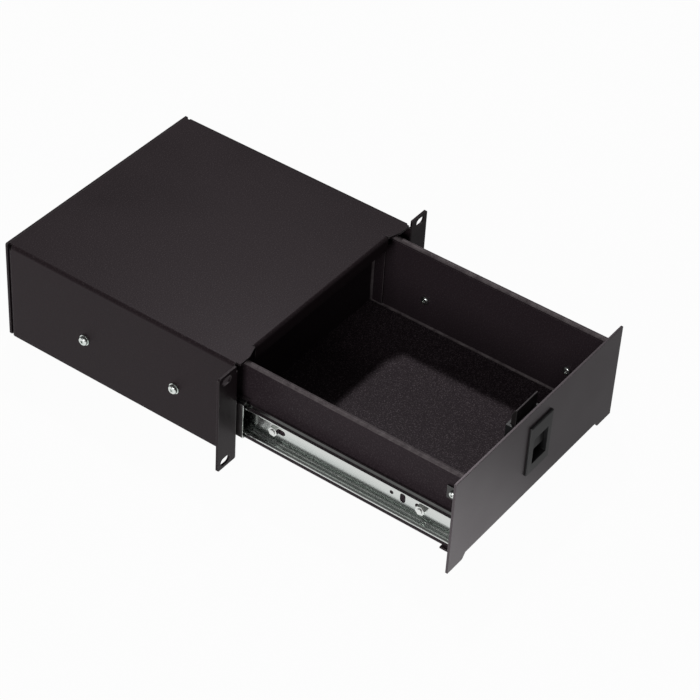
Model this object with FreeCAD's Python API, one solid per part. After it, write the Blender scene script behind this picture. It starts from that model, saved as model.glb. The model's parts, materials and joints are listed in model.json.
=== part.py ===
"""Sliding rack drawer, two units high, for a half-width (10 inch) rack.

Millimetres.  X points right as seen from the front, Y to the back, Z up.
The parts are drawn with y = 0 on the front plane of the rack ears, z = 0 on their bottom edge
and x = 0 in the middle, and saved with the origin at the middle of the ears' slot pattern.
The drawer is modelled fully open and closes along +Y.
"""
import FreeCAD
import Part
import math
import os

# Rack ears and case
RACK_WIDTH = 254.0
RACK_HEIGHT = 88.1
EAR_WIDTH = 21.0
EAR_RISE = 0.8
SLOT_INSET_X = 8.75
SLOT_INSET_Z = 5.95
SLOT_LENGTH = 10.0
SLOT_WIDTH = 6.5
EAR_CHAMFER = 1.5
CASE_DEPTH = 218.0
CASE_SHEET = 2.0
CASE_BEND = 1.5
EDGE_BEND = 1.0
CORNER_RELIEF = 1.6
BASE_FLANGE = 12.0
REAR_FLANGE = 16.0
SHEET_GAP = 0.1
FOLD_LAP = 8.0

# Front lip of the lid, which is also the strike of the latch
LIP_SET_BACK = 3.5
LIP_INSET = 25.0
LIP_HEIGHT = 11.5
LIP_RELIEF = 0.6
LID_CORNER_RUN = 11.0

# Ball-bearing slides
SLIDE_THICKNESS = 9.8
SLIDE_HEIGHT = 35.0
SLIDE_CENTRE_Z = 35.0
SLIDE_SHEET = 1.0
SLIDE_BEND = 0.8
SLIDE_PROUD = 4.0
SLIDE_REAR_GAP = 3.0
RUNNER_SET_BACK = 1.0
RUNNER_OVERLAP = 30.0
BALL_DIAMETER = 4.76
BALL_CLEARANCE = 0.3
BALL_COUNT = 5
BALL_SIDES = 10
BALL_RING_ANGLE = 30.0
RACEWAY_FLANK = 0.03
FLANGE_SET_BACK = 0.5
CAGE_LENGTH = 60.0
CAGE_SHEET = 0.6
CAGE_GAP = 0.3
CAGE_FRONT_GAP = 2.0
CAGE_FORK = 22.0
CAGE_END = 5.0
BUMPER_LENGTH = 4.0
BUMPER_GAP = 0.5
STOP_INSET = 12.0
STOP_LENGTH = 2.0
STOP_HEIGHT = 3.5
STOP_DROP = 6.0
STOP_OVERLAP = 1.0

# Drawer
PANEL_GAP = 4.5
PANEL_SHEET = 2.0
PANEL_OVERLAP = 1.2
PANEL_BOTTOM = 1.0
PANEL_TOP_GAP = 1.8
NOTCH_INSET = 18.2
NOTCH_HEIGHT = 4.5
NOTCH_SLOPE = 3.5
TRAY_SHEET = 1.5
TRAY_BOTTOM = 9.0
TRAY_TOP_GAP = 3.3
TRAY_SET_BACK = 2.0
FLOOR_BEND = 1.5
HEM_BEND = 0.5
HEM_WIDTH = 4.4
HEM_LIP = 3.6
BACK_FLANGE = 12.0
ANGLE_OVERHANG = 1.3
ANGLE_DEPTH = 13.5
ANGLE_HEIGHT = 15.0
BRACKET_LEG = 12.0
BRACKET_REACH = 10.5
BRACKET_HEIGHT = 11.0
BRACKET_DROP = 18.5

# Fasteners and small holes; a small round hole or shank has HOLE_SIDES flats, a head HEAD_SIDES
M4 = 4.0
M3 = 3.0
HOLE_CLEARANCE = 0.5
THREAD_CLEARANCE = 0.2
HOLE_SIDES = 12
HEAD_SIDES = 16
HEAD_RADIUS_RATIO = 0.95
HEAD_HEIGHT_RATIO = 0.7
HEAD_CHAMFER_RATIO = 0.25
NUT_HEIGHT_RATIO = 0.8
NUT_FLATS_RATIO = 1.5
NUT_FLATS_EXTRA = 1.0
WASHER_RADIUS_RATIO = 1.1
WASHER_HEIGHT = 1.0
STUD_LENGTH = 8.0
ANGLE_STUD_INSET = 20.5
ANGLE_STUD_X = 42.0
CASE_SCREW_YS = (57.0, 142.0)
RUNNER_SCREW_INSET = 30.5
RUNNER_SCREW_REAR_INSET = 52.5
RUNNER_SLOT_LENGTH = 13.0
RUNNER_SLOT_SHIFT = 2.5
RUNNER_SHORT_SLOT_LENGTH = 9.0
RUNNER_SHORT_SLOT_SHIFT = 1.5
RUNNER_UPRIGHT_SLOT_LENGTH = 8.4
RUNNER_UPRIGHT_SLOT_OFFSET = 16.5
RUNNER_PILOT_DIAMETER = 3.2
RUNNER_PILOT_OFFSET = 26.0
REAR_SCREW_INSET = 9.0
REAR_SCREW_LOW = 20.0
REAR_SCREW_DROP = 19.3

# Latch; rises and drops are measured from the middle of the bezel
BEZEL_WIDTH = 28.5
BEZEL_HEIGHT = 45.0
BEZEL_PROUD = 2.0
BEZEL_CORNER = 1.0
BEZEL_BODY_WIDTH = 24.0
BEZEL_BODY_HEIGHT = 40.4
BEZEL_BODY_DEPTH = 11.8
CUTOUT_CLEARANCE = 0.3
WINDOW_WIDTH = 18.5
WINDOW_DROP = 13.65
WINDOW_RISE = 9.65
CUP_WALL = 1.5
CUP_BACK_RISE = 7.85
SCOOP_RISE = 3.0
LATCH_WALL = 2.0
PIVOT_DEPTH = 4.0
PIVOT_RISE = 13.35
PIN_DIAMETER = 3.0
PIN_CLEARANCE = 0.05
PIN_LENGTH = 22.0
PADDLE_HUB = 2.8
PADDLE_THICKNESS = 2.2
PADDLE_EDGE_DEPTH = 1.2
PADDLE_EDGE_DROP = 4.85
PADDLE_SWING = 28.0
ARM_X = 6.0
ARM_WIDTH = 3.2
ARM_THICKNESS = 2.2
ARM_TIP_RADIUS = 1.5
LATCH_CLEARANCE = 0.3
BOLT_WIDTH = 27.0
BOLT_THICKNESS = 4.0
BOLT_DROP = 10.65
BOLT_LAP = 4.2
BOLT_BEVEL = 5.5
BOLT_NOSE = 1.2
HOUSING_WIDTH = 33.0
HOUSING_DROP = 24.65
HOUSING_FLOOR_GAP = 1.5
HOUSING_LIP_GAP = 1.3
LUG_WIDTH = 7.5
LUG_HEIGHT = 13.0
LUG_THICKNESS = 2.5
SPRING_DIAMETER = 4.0
SPRING_WIRE = 0.6
SPRING_TURNS = 3.5

# Sizes that follow from the ones above
SLOT_X = RACK_WIDTH / 2 - SLOT_INSET_X
CASE_WIDTH = RACK_WIDTH - 2 * EAR_WIDTH
CASE_HEIGHT = RACK_HEIGHT - EAR_RISE
LIP_WIDTH = CASE_WIDTH - 2 * LIP_INSET
WALL_INSIDE = CASE_WIDTH / 2 - CASE_SHEET
TRAY_HALF = WALL_INSIDE - SLIDE_THICKNESS
FOLD_REACH = CASE_SHEET + CASE_BEND
SHELL_REAR = CASE_DEPTH - CASE_SHEET
LID_UNDERSIDE = CASE_HEIGHT - CASE_SHEET
FOLD_TOP = CASE_HEIGHT - CASE_SHEET - EDGE_BEND - CORNER_RELIEF
LIP_REAR = LIP_SET_BACK + CASE_SHEET
LIP_BOTTOM = CASE_HEIGHT - LIP_HEIGHT
OUTER_REAR = SHELL_REAR - CASE_SHEET - SLIDE_REAR_GAP
BUMPER_FRONT = OUTER_REAR - BUMPER_LENGTH
RUNNER_REAR = RUNNER_OVERLAP - SLIDE_PROUD
TRAVEL = BUMPER_FRONT - BUMPER_GAP - RUNNER_REAR
PANEL_BACK = -(TRAVEL + PANEL_GAP)
PANEL_FRONT = PANEL_BACK - PANEL_SHEET
PANEL_HALF = CASE_WIDTH / 2 + PANEL_OVERLAP
PANEL_TOP = CASE_HEIGHT - PANEL_TOP_GAP
TRAY_TOP = LID_UNDERSIDE - TRAY_TOP_GAP
TRAY_REAR = RUNNER_REAR - TRAY_SET_BACK
BRACKET_CENTRE_Z = TRAY_TOP - BRACKET_DROP
STOP_Y = RUNNER_REAR - STOP_INSET
RACEWAY_RADIUS = BALL_DIAMETER / 2 + BALL_CLEARANCE
RACEWAY_HALF_WIDTH = ((RACEWAY_RADIUS + SLIDE_SHEET * math.tan(math.pi / 8)) / math.sqrt(2)
                      + RACEWAY_FLANK)
RACEWAY_DEPTH = RACEWAY_HALF_WIDTH - RACEWAY_RADIUS * (math.sqrt(2) - 1)
BALL_HEIGHT = SLIDE_HEIGHT / 2 - SLIDE_SHEET - RACEWAY_RADIUS
OUTER_SHOULDER = SLIDE_HEIGHT / 2 - SLIDE_SHEET - RACEWAY_DEPTH
RUNNER_SHOULDER = BALL_HEIGHT - RACEWAY_RADIUS + RACEWAY_DEPTH
RUNNER_FRONT = PANEL_BACK + RUNNER_SET_BACK
RUNNER_TIP = SLIDE_SHEET + CAGE_GAP + CAGE_SHEET + CAGE_GAP
RUNNER_SCREW_YS = (PANEL_BACK + RUNNER_SCREW_INSET, RUNNER_REAR - RUNNER_SCREW_REAR_INSET)
RACEWAY_OFFSET = (RUNNER_TIP + SLIDE_THICKNESS - SLIDE_SHEET - SLIDE_BEND) / 2
CAGE_FRONT = -SLIDE_PROUD + CAGE_FRONT_GAP
ANGLE_HALF = TRAY_HALF + ANGLE_OVERHANG
ANGLE_STUD_XS = (ANGLE_STUD_INSET - ANGLE_HALF, -ANGLE_STUD_X, ANGLE_STUD_X, ANGLE_HALF - ANGLE_STUD_INSET)
REAR_SCREW_X = CASE_WIDTH / 2 - REAR_SCREW_INSET
REAR_SCREW_ZS = (REAR_SCREW_LOW, CASE_HEIGHT - REAR_SCREW_DROP)
ANGLE_TOP = TRAY_BOTTOM - TRAY_SHEET + ANGLE_HEIGHT
HOUSING_BOTTOM = ANGLE_TOP + HOUSING_FLOOR_GAP
LATCH_CENTRE_Z = HOUSING_BOTTOM + HOUSING_DROP
WINDOW_BOTTOM = LATCH_CENTRE_Z - WINDOW_DROP
WINDOW_TOP = LATCH_CENTRE_Z + WINDOW_RISE
PIVOT_Y = PANEL_FRONT + PIVOT_DEPTH
PIVOT_Z = LATCH_CENTRE_Z + PIVOT_RISE
BOLT_FRONT = PANEL_BACK + PANEL_GAP + LIP_REAR + LATCH_CLEARANCE
BOLT_BOTTOM = LATCH_CENTRE_Z - BOLT_DROP
BOLT_TOP = LIP_BOTTOM + BOLT_LAP
ARM_LENGTH = (BOLT_FRONT + BOLT_THICKNESS / 2 - PIVOT_Y) / math.cos(math.radians(PADDLE_SWING / 2))
BOLT_TRAVEL = 2 * ARM_LENGTH * math.sin(math.radians(PADDLE_SWING / 2))
ARM_TIP_Z = PIVOT_Z + BOLT_TRAVEL / 2
HOUSING_REAR = BOLT_FRONT + BOLT_THICKNESS + LATCH_CLEARANCE + LATCH_WALL
HOUSING_TOP = LIP_BOTTOM - HOUSING_LIP_GAP

X_AXIS = FreeCAD.Vector(1, 0, 0)
Y_AXIS = FreeCAD.Vector(0, 1, 0)
Z_AXIS = FreeCAD.Vector(0, 0, 1)


# Drawing helpers

def vec(x, y, z):
    """A point or direction in millimetres."""
    return FreeCAD.Vector(x, y, z)


def block(x_span, y_span, z_span):
    """A box between two limits on each axis."""
    low = vec(min(x_span), min(y_span), min(z_span))
    size = vec(max(x_span), max(y_span), max(z_span)) - low
    return Part.makeBox(size.x, size.y, size.z, low)


def rod(radius, start, end):
    """A round bar between two points."""
    along = end - start
    return Part.makeCylinder(radius, along.Length, start, along)


def corner_ring(radius, sides, centre, axis):
    """Corners of a regular polygon on a circle around an axis."""
    across = axis.cross(Z_AXIS if abs(axis.z) < abs(axis.x) + abs(axis.y) else X_AXIS).normalize()
    up = across.cross(axis).normalize()
    angles = [2 * math.pi * step / sides for step in range(sides)]
    return [centre + across * (radius * math.cos(angle)) + up * (radius * math.sin(angle))
            for angle in angles]


def bar(radius, sides, start, end):
    """A many-sided bar whose corners lie on a round bar."""
    return polygon_plate(corner_ring(radius, sides, start, end - start), end - start)


def mirrored(shape):
    """The same shape on the other side of the middle plane."""
    return shape.mirror(vec(0, 0, 0), X_AXIS)


def both_sides(shape):
    """A shape together with its mirror image."""
    return [shape, mirrored(shape)]


def cut_all(shape, tools):
    """A shape with every tool taken out of it."""
    for tool in tools:
        shape = shape.cut(tool)
    return shape


def joined(shapes):
    """Several touching shapes as one clean solid."""
    return shapes[0].multiFuse(shapes[1:]).removeSplitter()


def obround(centre, length, width, along, through, depth):
    """A round-ended slot cutter: length runs end to end, depth lies on both sides."""
    reach = along * ((length - width) / 2)
    across = through.cross(along) * (width / 2)
    start = centre - through * depth
    first = start - reach
    last = start + reach
    edges = [
        Part.LineSegment(first + across, last + across).toShape(),
        Part.Arc(last + across, last + along * (width / 2), last - across).toShape(),
        Part.LineSegment(last - across, first - across).toShape(),
        Part.Arc(first - across, first - along * (width / 2), first + across).toShape(),
    ]
    return Part.Face(Part.Wire(edges)).extrude(through * (2 * depth))


def rounded_edges(points, radii):
    """Edges of an open line of corners, each inner corner rounded to its own radius."""
    edges = []
    start = points[0]
    for corner, before, after, radius in zip(points[1:-1], points[:-2], points[2:], radii):
        come = (corner - before).normalize()
        leave = (after - corner).normalize()
        half_turn = come.getAngle(leave) / 2
        reach = radius * math.tan(half_turn)
        end = corner - come * reach
        if (end - start).Length > 1e-6:
            edges.append(Part.LineSegment(start, end).toShape())
        start = end
        if radius > 0:
            start = corner + leave * reach
            inward = (leave - come).normalize()
            middle = corner + inward * (radius / math.cos(half_turn) - radius)
            edges.append(Part.Arc(end, middle, start).toShape())
    edges.append(Part.LineSegment(start, points[-1]).toShape())
    return edges


def folded(points, thickness, bends, along):
    """Folded sheet metal: points follow one face of the section, and the sheet lies on their
    left for a viewer who looks along the extrusion (on their right if thickness is negative).
    bends holds each corner's inside radius, or None for a sharp corner."""
    toward_viewer = along * (-1 / along.Length)
    gauge = abs(thickness)
    offset = []
    face_radii = []
    back_radii = []
    for index, point in enumerate(points):
        sides = []
        if index > 0:
            sides.append(toward_viewer.cross((point - points[index - 1]).normalize()))
        if index < len(points) - 1:
            sides.append(toward_viewer.cross((points[index + 1] - point).normalize()))
        total = sides[0] + sides[-1]
        offset.append(point + total * (thickness / (1 + sides[0].dot(sides[-1]))))
        if len(sides) == 2:
            bend = bends[index - 1]
            turns_to_sheet = sides[0].cross(sides[1]).dot(toward_viewer) * thickness > 0
            inner = 0 if bend is None else bend
            outer = 0 if bend is None else bend + gauge
            face_radii.append(outer if turns_to_sheet else inner)
            back_radii.append(inner if turns_to_sheet else outer)
    face_line = rounded_edges(points, face_radii)
    back_line = rounded_edges(offset[::-1], back_radii[::-1])
    caps = [
        Part.LineSegment(points[-1], offset[-1]).toShape(),
        Part.LineSegment(offset[0], points[0]).toShape(),
    ]
    outline = Part.Wire(Part.__sortEdges__(face_line + [caps[0]] + back_line + [caps[1]]))
    return Part.Face(outline).extrude(along)


def polygon_plate(points, along):
    """A flat plate with straight edges."""
    return Part.Face(Part.makePolygon(points + [points[0]])).extrude(along)


def nut(thread, centre, axis):
    """A plain hexagon nut that starts at a seat and grows along the axis."""
    corner_radius = (NUT_FLATS_RATIO * thread + NUT_FLATS_EXTRA) / math.sqrt(3)
    top = centre + axis * (NUT_HEIGHT_RATIO * thread)
    return bar(corner_radius, 6, centre, top).cut(
        bar(thread / 2 + THREAD_CLEARANCE, HOLE_SIDES, centre - axis, top + axis))


def pan_screw(thread, seat, axis, length):
    """A pan-head screw: the head stands on the seat against the axis, the shank runs along it."""
    radius = HEAD_RADIUS_RATIO * thread
    chamfer = HEAD_CHAMFER_RATIO * thread
    top = seat - axis * (HEAD_HEIGHT_RATIO * thread)
    shoulder = top + axis * chamfer
    rings = [Part.makePolygon(ring + [ring[0]]) for ring in (
        corner_ring(radius, HEAD_SIDES, shoulder, axis),
        corner_ring(radius - chamfer, HEAD_SIDES, top, axis))]
    crown = Part.makeLoft(rings, True, True)
    head = bar(radius, HEAD_SIDES, seat, shoulder)
    return joined([head, crown, bar(thread / 2, HOLE_SIDES, shoulder, seat + axis * length)])


def washer(thread, seat, axis, height):
    """A flat ring that stands on the seat against the axis."""
    disc = bar(WASHER_RADIUS_RATIO * thread, HEAD_SIDES, seat, seat - axis * height)
    return disc.cut(bar(thread / 2 + THREAD_CLEARANCE, HOLE_SIDES, seat + axis,
                        seat - axis * (height + 1)))


def bore(diameter, centre, axis, depth):
    """A small hole's cutter that reaches the same depth on both sides of its centre."""
    return bar(diameter / 2, HOLE_SIDES, centre - axis * depth, centre + axis * depth)


def long_bore(centre, length, diameter, along, axis, depth):
    """A small slot's cutter: length runs end to end, depth lies on both sides of the centre."""
    reach = along * ((length - diameter) / 2)
    across = axis.cross(along) * (diameter / 2)
    low = centre - axis * depth
    middle = polygon_plate([low - reach - across, low + reach - across, low + reach + across,
                            low - reach + across], axis * (2 * depth))
    return joined([middle, bore(diameter, centre - reach, axis, depth),
                   bore(diameter, centre + reach, axis, depth)])


# Case

def ear(side_top):
    """Right rack ear with the fold that joins it to the side wall."""
    half = CASE_WIDTH / 2
    fold = folded(
        [vec(half, FOLD_REACH + FOLD_LAP, 0), vec(half, CASE_SHEET, 0),
         vec(RACK_WIDTH / 2, CASE_SHEET, 0)],
        CASE_SHEET, [CASE_BEND], vec(0, 0, side_top))
    upper = block((half + CASE_BEND, RACK_WIDTH / 2), (0, CASE_SHEET), (side_top, RACK_HEIGHT))
    plate = joined([fold, upper])
    corners = [edge for edge in plate.Edges
               if abs(edge.CenterOfMass.x - RACK_WIDTH / 2) < 1e-6
               and abs(edge.CenterOfMass.y - CASE_SHEET / 2) < 1e-6
               and abs(abs(edge.CenterOfMass.z - RACK_HEIGHT / 2) - RACK_HEIGHT / 2) < 1e-6]
    plate = plate.makeChamfer(EAR_CHAMFER, corners)
    slots = [obround(vec(SLOT_X, 0, z), SLOT_LENGTH, SLOT_WIDTH, X_AXIS, Y_AXIS, 2 * CASE_SHEET)
             for z in (SLOT_INSET_Z, RACK_HEIGHT - SLOT_INSET_Z)]
    return cut_all(plate, slots)


def rear_flange():
    """Right flange, folded inwards from the side wall, that carries the rear panel."""
    half = CASE_WIDTH / 2
    return folded(
        [vec(half, SHELL_REAR - FOLD_REACH - FOLD_LAP, 0), vec(half, SHELL_REAR, 0),
         vec(WALL_INSIDE - REAR_FLANGE, SHELL_REAR, 0)],
        -CASE_SHEET, [CASE_BEND], vec(0, 0, FOLD_TOP))


def lid_corner():
    """Right front corner of the lid, which runs forward beside the lip to the ear."""
    inner = LIP_WIDTH / 2 + LIP_RELIEF
    flat = inner - LIP_RELIEF + LID_CORNER_RUN
    outer = WALL_INSIDE - EDGE_BEND
    rear = FOLD_REACH + FOLD_LAP
    points = [vec(inner, rear, LID_UNDERSIDE), vec(inner, LIP_SET_BACK, LID_UNDERSIDE),
              vec(flat, 0, LID_UNDERSIDE), vec(outer, 0, LID_UNDERSIDE),
              vec(outer, rear, LID_UNDERSIDE)]
    return polygon_plate(points, vec(0, 0, CASE_SHEET))


def lid_lip():
    """Folded-down front edge of the lid between the two corners."""
    half = LIP_WIDTH / 2
    return folded(
        [vec(-half, FOLD_REACH + FOLD_LAP, CASE_HEIGHT), vec(-half, LIP_SET_BACK, CASE_HEIGHT),
         vec(-half, LIP_SET_BACK, LIP_BOTTOM)],
        -CASE_SHEET, [EDGE_BEND], vec(2 * half, 0, 0))


def make_case_shell():
    """Lid, side walls, ears, rear flanges and lip, folded from one sheet."""
    half = CASE_WIDTH / 2
    fold_end = LIP_REAR + EDGE_BEND
    walls = folded(
        [vec(-half, FOLD_REACH, 0), vec(-half, FOLD_REACH, CASE_HEIGHT),
         vec(half, FOLD_REACH, CASE_HEIGHT), vec(half, FOLD_REACH, 0)],
        -CASE_SHEET, [EDGE_BEND, EDGE_BEND], vec(0, SHELL_REAR - 2 * FOLD_REACH, 0))
    room = LIP_WIDTH / 2 + LIP_RELIEF
    walls = walls.cut(block((-room, room), (0, fold_end), (LID_UNDERSIDE - 1, CASE_HEIGHT + 1)))
    tongue_half = WALL_INSIDE - EDGE_BEND
    tongue = block((-tongue_half, tongue_half), (SHELL_REAR - 2 * FOLD_REACH, SHELL_REAR),
                   (LID_UNDERSIDE, CASE_HEIGHT))
    pieces = [walls, tongue, lid_lip()]
    for piece in (ear(FOLD_TOP), rear_flange(), lid_corner()):
        pieces.extend(both_sides(piece))
    shell = joined(pieces)
    holes = [bore(M4 + HOLE_CLEARANCE, vec(0, y, SLIDE_CENTRE_Z), X_AXIS, CASE_WIDTH)
             for y in CASE_SCREW_YS]
    holes += [bore(M3 + THREAD_CLEARANCE, vec(x, SHELL_REAR, z), Y_AXIS, 2 * CASE_SHEET)
              for x in (-REAR_SCREW_X, REAR_SCREW_X) for z in REAR_SCREW_ZS]
    return cut_all(shell, holes)


def make_base_plate():
    """Bottom of the case, with a flange up each side wall."""
    half = WALL_INSIDE - SHEET_GAP
    return folded(
        [vec(-half, FOLD_REACH, BASE_FLANGE), vec(-half, FOLD_REACH, 0),
         vec(half, FOLD_REACH, 0), vec(half, FOLD_REACH, BASE_FLANGE)],
        CASE_SHEET, [CASE_BEND, CASE_BEND], vec(0, SHELL_REAR - 2 * FOLD_REACH, 0))


def make_rear_panel():
    """Flat plate screwed to the rear flanges of the case."""
    half = CASE_WIDTH / 2 - SHEET_GAP
    panel = block((-half, half), (SHELL_REAR, CASE_DEPTH), (SHEET_GAP, CASE_HEIGHT - SHEET_GAP))
    upright = [edge for edge in panel.Edges
               if abs(abs(edge.CenterOfMass.x) - half) < 1e-6
               and abs(edge.CenterOfMass.y - SHELL_REAR - CASE_SHEET / 2) < 1e-6]
    panel = panel.makeFillet(CASE_BEND, upright)
    return cut_all(panel, [bore(M3 + HOLE_CLEARANCE, vec(x, CASE_DEPTH, z), Y_AXIS, 2 * CASE_SHEET)
                           for x in (-REAR_SCREW_X, REAR_SCREW_X) for z in REAR_SCREW_ZS])


def make_rear_screws():
    """Pan-head screws of the rear panel."""
    return [pan_screw(M3, vec(x, CASE_DEPTH, z), -Y_AXIS, 3 * CASE_SHEET)
            for x in (-REAR_SCREW_X, REAR_SCREW_X) for z in REAR_SCREW_ZS]


# Slides.  A section point is (depth, height): depth is measured from the inside of the
# case wall towards the drawer, height from the middle of the slide.

def slide_point(depth, height, y=0.0):
    """Place a section point on the left slide."""
    return vec(-WALL_INSIDE + depth, y, SLIDE_CENTRE_Z + height)


def raceway(shoulder, deepen):
    """Three corners of a ball groove that leaves a flange at shoulder height."""
    apex = shoulder + deepen * RACEWAY_HALF_WIDTH
    return [(RACEWAY_OFFSET - RACEWAY_HALF_WIDTH, shoulder), (RACEWAY_OFFSET, apex),
            (RACEWAY_OFFSET + RACEWAY_HALF_WIDTH, shoulder)]


def channel(start, web, shoulder, deepen, y_start, length, thickness):
    """A slide member: a web between two flanges that each carry a ball groove."""
    groove = raceway(shoulder, deepen)
    if start > web:
        groove = groove[::-1]
    upper = [(start, shoulder)] + groove + [(web, shoulder)]
    lower = [(depth, -height) for depth, height in upper[::-1]]
    flange_bends = [None, RACEWAY_RADIUS, None]
    bends = flange_bends + [SLIDE_BEND, SLIDE_BEND] + flange_bends
    points = [slide_point(depth, height, y_start) for depth, height in upper + lower]
    return folded(points, thickness, bends, vec(0, length, 0))


def make_slide_outer():
    """Left outer slide member, screwed to the case wall, with its lanced front stop."""
    member = channel(SLIDE_THICKNESS - FLANGE_SET_BACK, SLIDE_SHEET, OUTER_SHOULDER, 1,
                     -SLIDE_PROUD, OUTER_REAR + SLIDE_PROUD, -SLIDE_SHEET)
    low = slide_point(0, -STOP_DROP - STOP_HEIGHT / 2, STOP_Y - STOP_LENGTH)
    reach = (SLIDE_SHEET + SLIDE_THICKNESS) / 2 - STOP_OVERLAP / 2
    stop = Part.makeBox(reach, STOP_LENGTH, STOP_HEIGHT, low)
    window = block((low.x - 1, low.x + SLIDE_SHEET), (low.y - STOP_LENGTH, low.y),
                   (low.z, low.z + STOP_HEIGHT))
    member = joined([member, stop]).cut(window)
    return cut_all(member, [bore(M4 + THREAD_CLEARANCE, vec(-WALL_INSIDE, y, SLIDE_CENTRE_Z),
                                 X_AXIS, 2 * SLIDE_SHEET) for y in CASE_SCREW_YS])


def make_slide_runner():
    """Left inner slide member, fixed to the drawer wall, with its holes and lanced rear stop."""
    member = channel(RUNNER_TIP, SLIDE_THICKNESS, RUNNER_SHOULDER, -1,
                     RUNNER_FRONT, RUNNER_REAR - RUNNER_FRONT, -SLIDE_SHEET)
    reach = (SLIDE_THICKNESS - SLIDE_SHEET) / 2 + STOP_OVERLAP / 2
    low = slide_point(SLIDE_THICKNESS - reach, -STOP_DROP - STOP_HEIGHT / 2, STOP_Y + CAGE_GAP)
    stop = Part.makeBox(reach, STOP_LENGTH, STOP_HEIGHT, low)
    window = block((low.x + reach - SLIDE_SHEET, low.x + reach + 1),
                   (low.y + STOP_LENGTH, low.y + 2 * STOP_LENGTH), (low.z, low.z + STOP_HEIGHT))
    member = joined([member, stop]).cut(window)
    web_x = -TRAY_HALF - SLIDE_SHEET / 2
    depth = 2 * SLIDE_SHEET
    width = M4 + HOLE_CLEARANCE
    front, rear = RUNNER_SCREW_YS
    slots = [(rear - RUNNER_SLOT_SHIFT, RUNNER_SLOT_LENGTH, Y_AXIS),
             (front + RUNNER_SHORT_SLOT_SHIFT, RUNNER_SHORT_SLOT_LENGTH, Y_AXIS),
             (front + RUNNER_UPRIGHT_SLOT_OFFSET, RUNNER_UPRIGHT_SLOT_LENGTH, Z_AXIS)]
    holes = [long_bore(vec(web_x, y, SLIDE_CENTRE_Z), length, width, along, X_AXIS, depth)
             for y, length, along in slots]
    holes.append(bore(RUNNER_PILOT_DIAMETER, vec(web_x, front + RUNNER_PILOT_OFFSET, SLIDE_CENTRE_Z),
                      X_AXIS, depth))
    return cut_all(member, holes)


def ball_centres():
    """Ball centres of the left slide with the drawer open."""
    pitch = (CAGE_LENGTH - 2 * CAGE_END) / (BALL_COUNT - 1)
    return [slide_point(RACEWAY_OFFSET, side * BALL_HEIGHT, CAGE_FRONT + CAGE_END + index * pitch)
            for side in (1, -1) for index in range(BALL_COUNT)]


def make_ball_cage():
    """Left ball cage: two drilled wings joined by a web behind the fork that clears the stop."""
    depth = SLIDE_SHEET + CAGE_GAP
    height = BALL_HEIGHT + CAGE_SHEET / 2
    tip = SLIDE_THICKNESS - SLIDE_SHEET
    points = [slide_point(tip, height, CAGE_FRONT), slide_point(depth, height, CAGE_FRONT),
              slide_point(depth, -height, CAGE_FRONT), slide_point(tip, -height, CAGE_FRONT)]
    cage = folded(points, CAGE_SHEET, [CAGE_GAP, CAGE_GAP], vec(0, CAGE_LENGTH, 0))
    fork_half = BALL_HEIGHT - 2 * CAGE_SHEET
    fork = block((-WALL_INSIDE, -WALL_INSIDE + RUNNER_TIP), (CAGE_FRONT - 1, CAGE_FRONT + CAGE_FORK),
                 (SLIDE_CENTRE_Z - fork_half, SLIDE_CENTRE_Z + fork_half))
    pocket = (BALL_DIAMETER + CAGE_GAP) / 2
    pockets = [block((centre.x - pocket, centre.x + pocket), (centre.y - pocket, centre.y + pocket),
                     (centre.z - CAGE_SHEET, centre.z + CAGE_SHEET)) for centre in ball_centres()]
    return cut_all(cage, [fork] + pockets)


def ball(centre):
    """A bearing ball with few faces: stacked rings of corners that lie on its sphere."""
    radius = BALL_DIAMETER / 2
    tilt = math.radians(BALL_RING_ANGLE)
    rings = []
    for height in (-1, 1):
        ring = corner_ring(radius * math.cos(tilt), BALL_SIDES,
                           centre + Y_AXIS * (height * radius * math.sin(tilt)), Y_AXIS)
        rings.append(ring)
    poles = [centre - Y_AXIS * radius, centre + Y_AXIS * radius]
    faces = []
    for step in range(BALL_SIDES):
        after = (step + 1) % BALL_SIDES
        faces.append(flat_face([rings[0][step], rings[0][after], rings[1][after], rings[1][step]]))
        for ring, pole in zip(rings, poles):
            faces.append(flat_face([ring[step], ring[after], pole]))
    return Part.Solid(Part.Shell(faces))


def flat_face(corners):
    """A flat face from its corners in order."""
    return Part.Face(Part.makePolygon(corners + [corners[0]]))


def make_balls():
    """Bearing balls of the left slide."""
    return [ball(centre) for centre in ball_centres()]


def make_bumper():
    """Left plastic bumper at the rear of the outer member, which stops the closing drawer."""
    half = RUNNER_SHOULDER - SLIDE_SHEET
    low = slide_point(SLIDE_SHEET, -half)
    high = slide_point(SLIDE_THICKNESS - FLANGE_SET_BACK, half)
    body = block((low.x, high.x), (BUMPER_FRONT, OUTER_REAR), (low.z, high.z))
    front = [edge for edge in body.Edges if abs(edge.CenterOfMass.y - BUMPER_FRONT) < 1e-6]
    return body.makeChamfer(BUMPER_LENGTH / 4, front)


def case_screw_places():
    """Seat and direction of every screw that holds an outer slide member."""
    for side in (-1, 1):
        for y in CASE_SCREW_YS:
            yield vec(side * CASE_WIDTH / 2, y, SLIDE_CENTRE_Z), vec(-side, 0, 0)


def make_slide_screws():
    """Pan-head screws from outside the case into the outer slide members."""
    length = WASHER_HEIGHT + CASE_SHEET + SLIDE_SHEET
    return [pan_screw(M4, seat - axis * WASHER_HEIGHT, axis, length)
            for seat, axis in case_screw_places()]


def make_slide_washers():
    """Washers under the heads of the case screws."""
    return [washer(M4, seat, axis, WASHER_HEIGHT) for seat, axis in case_screw_places()]


# Drawer

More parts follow.
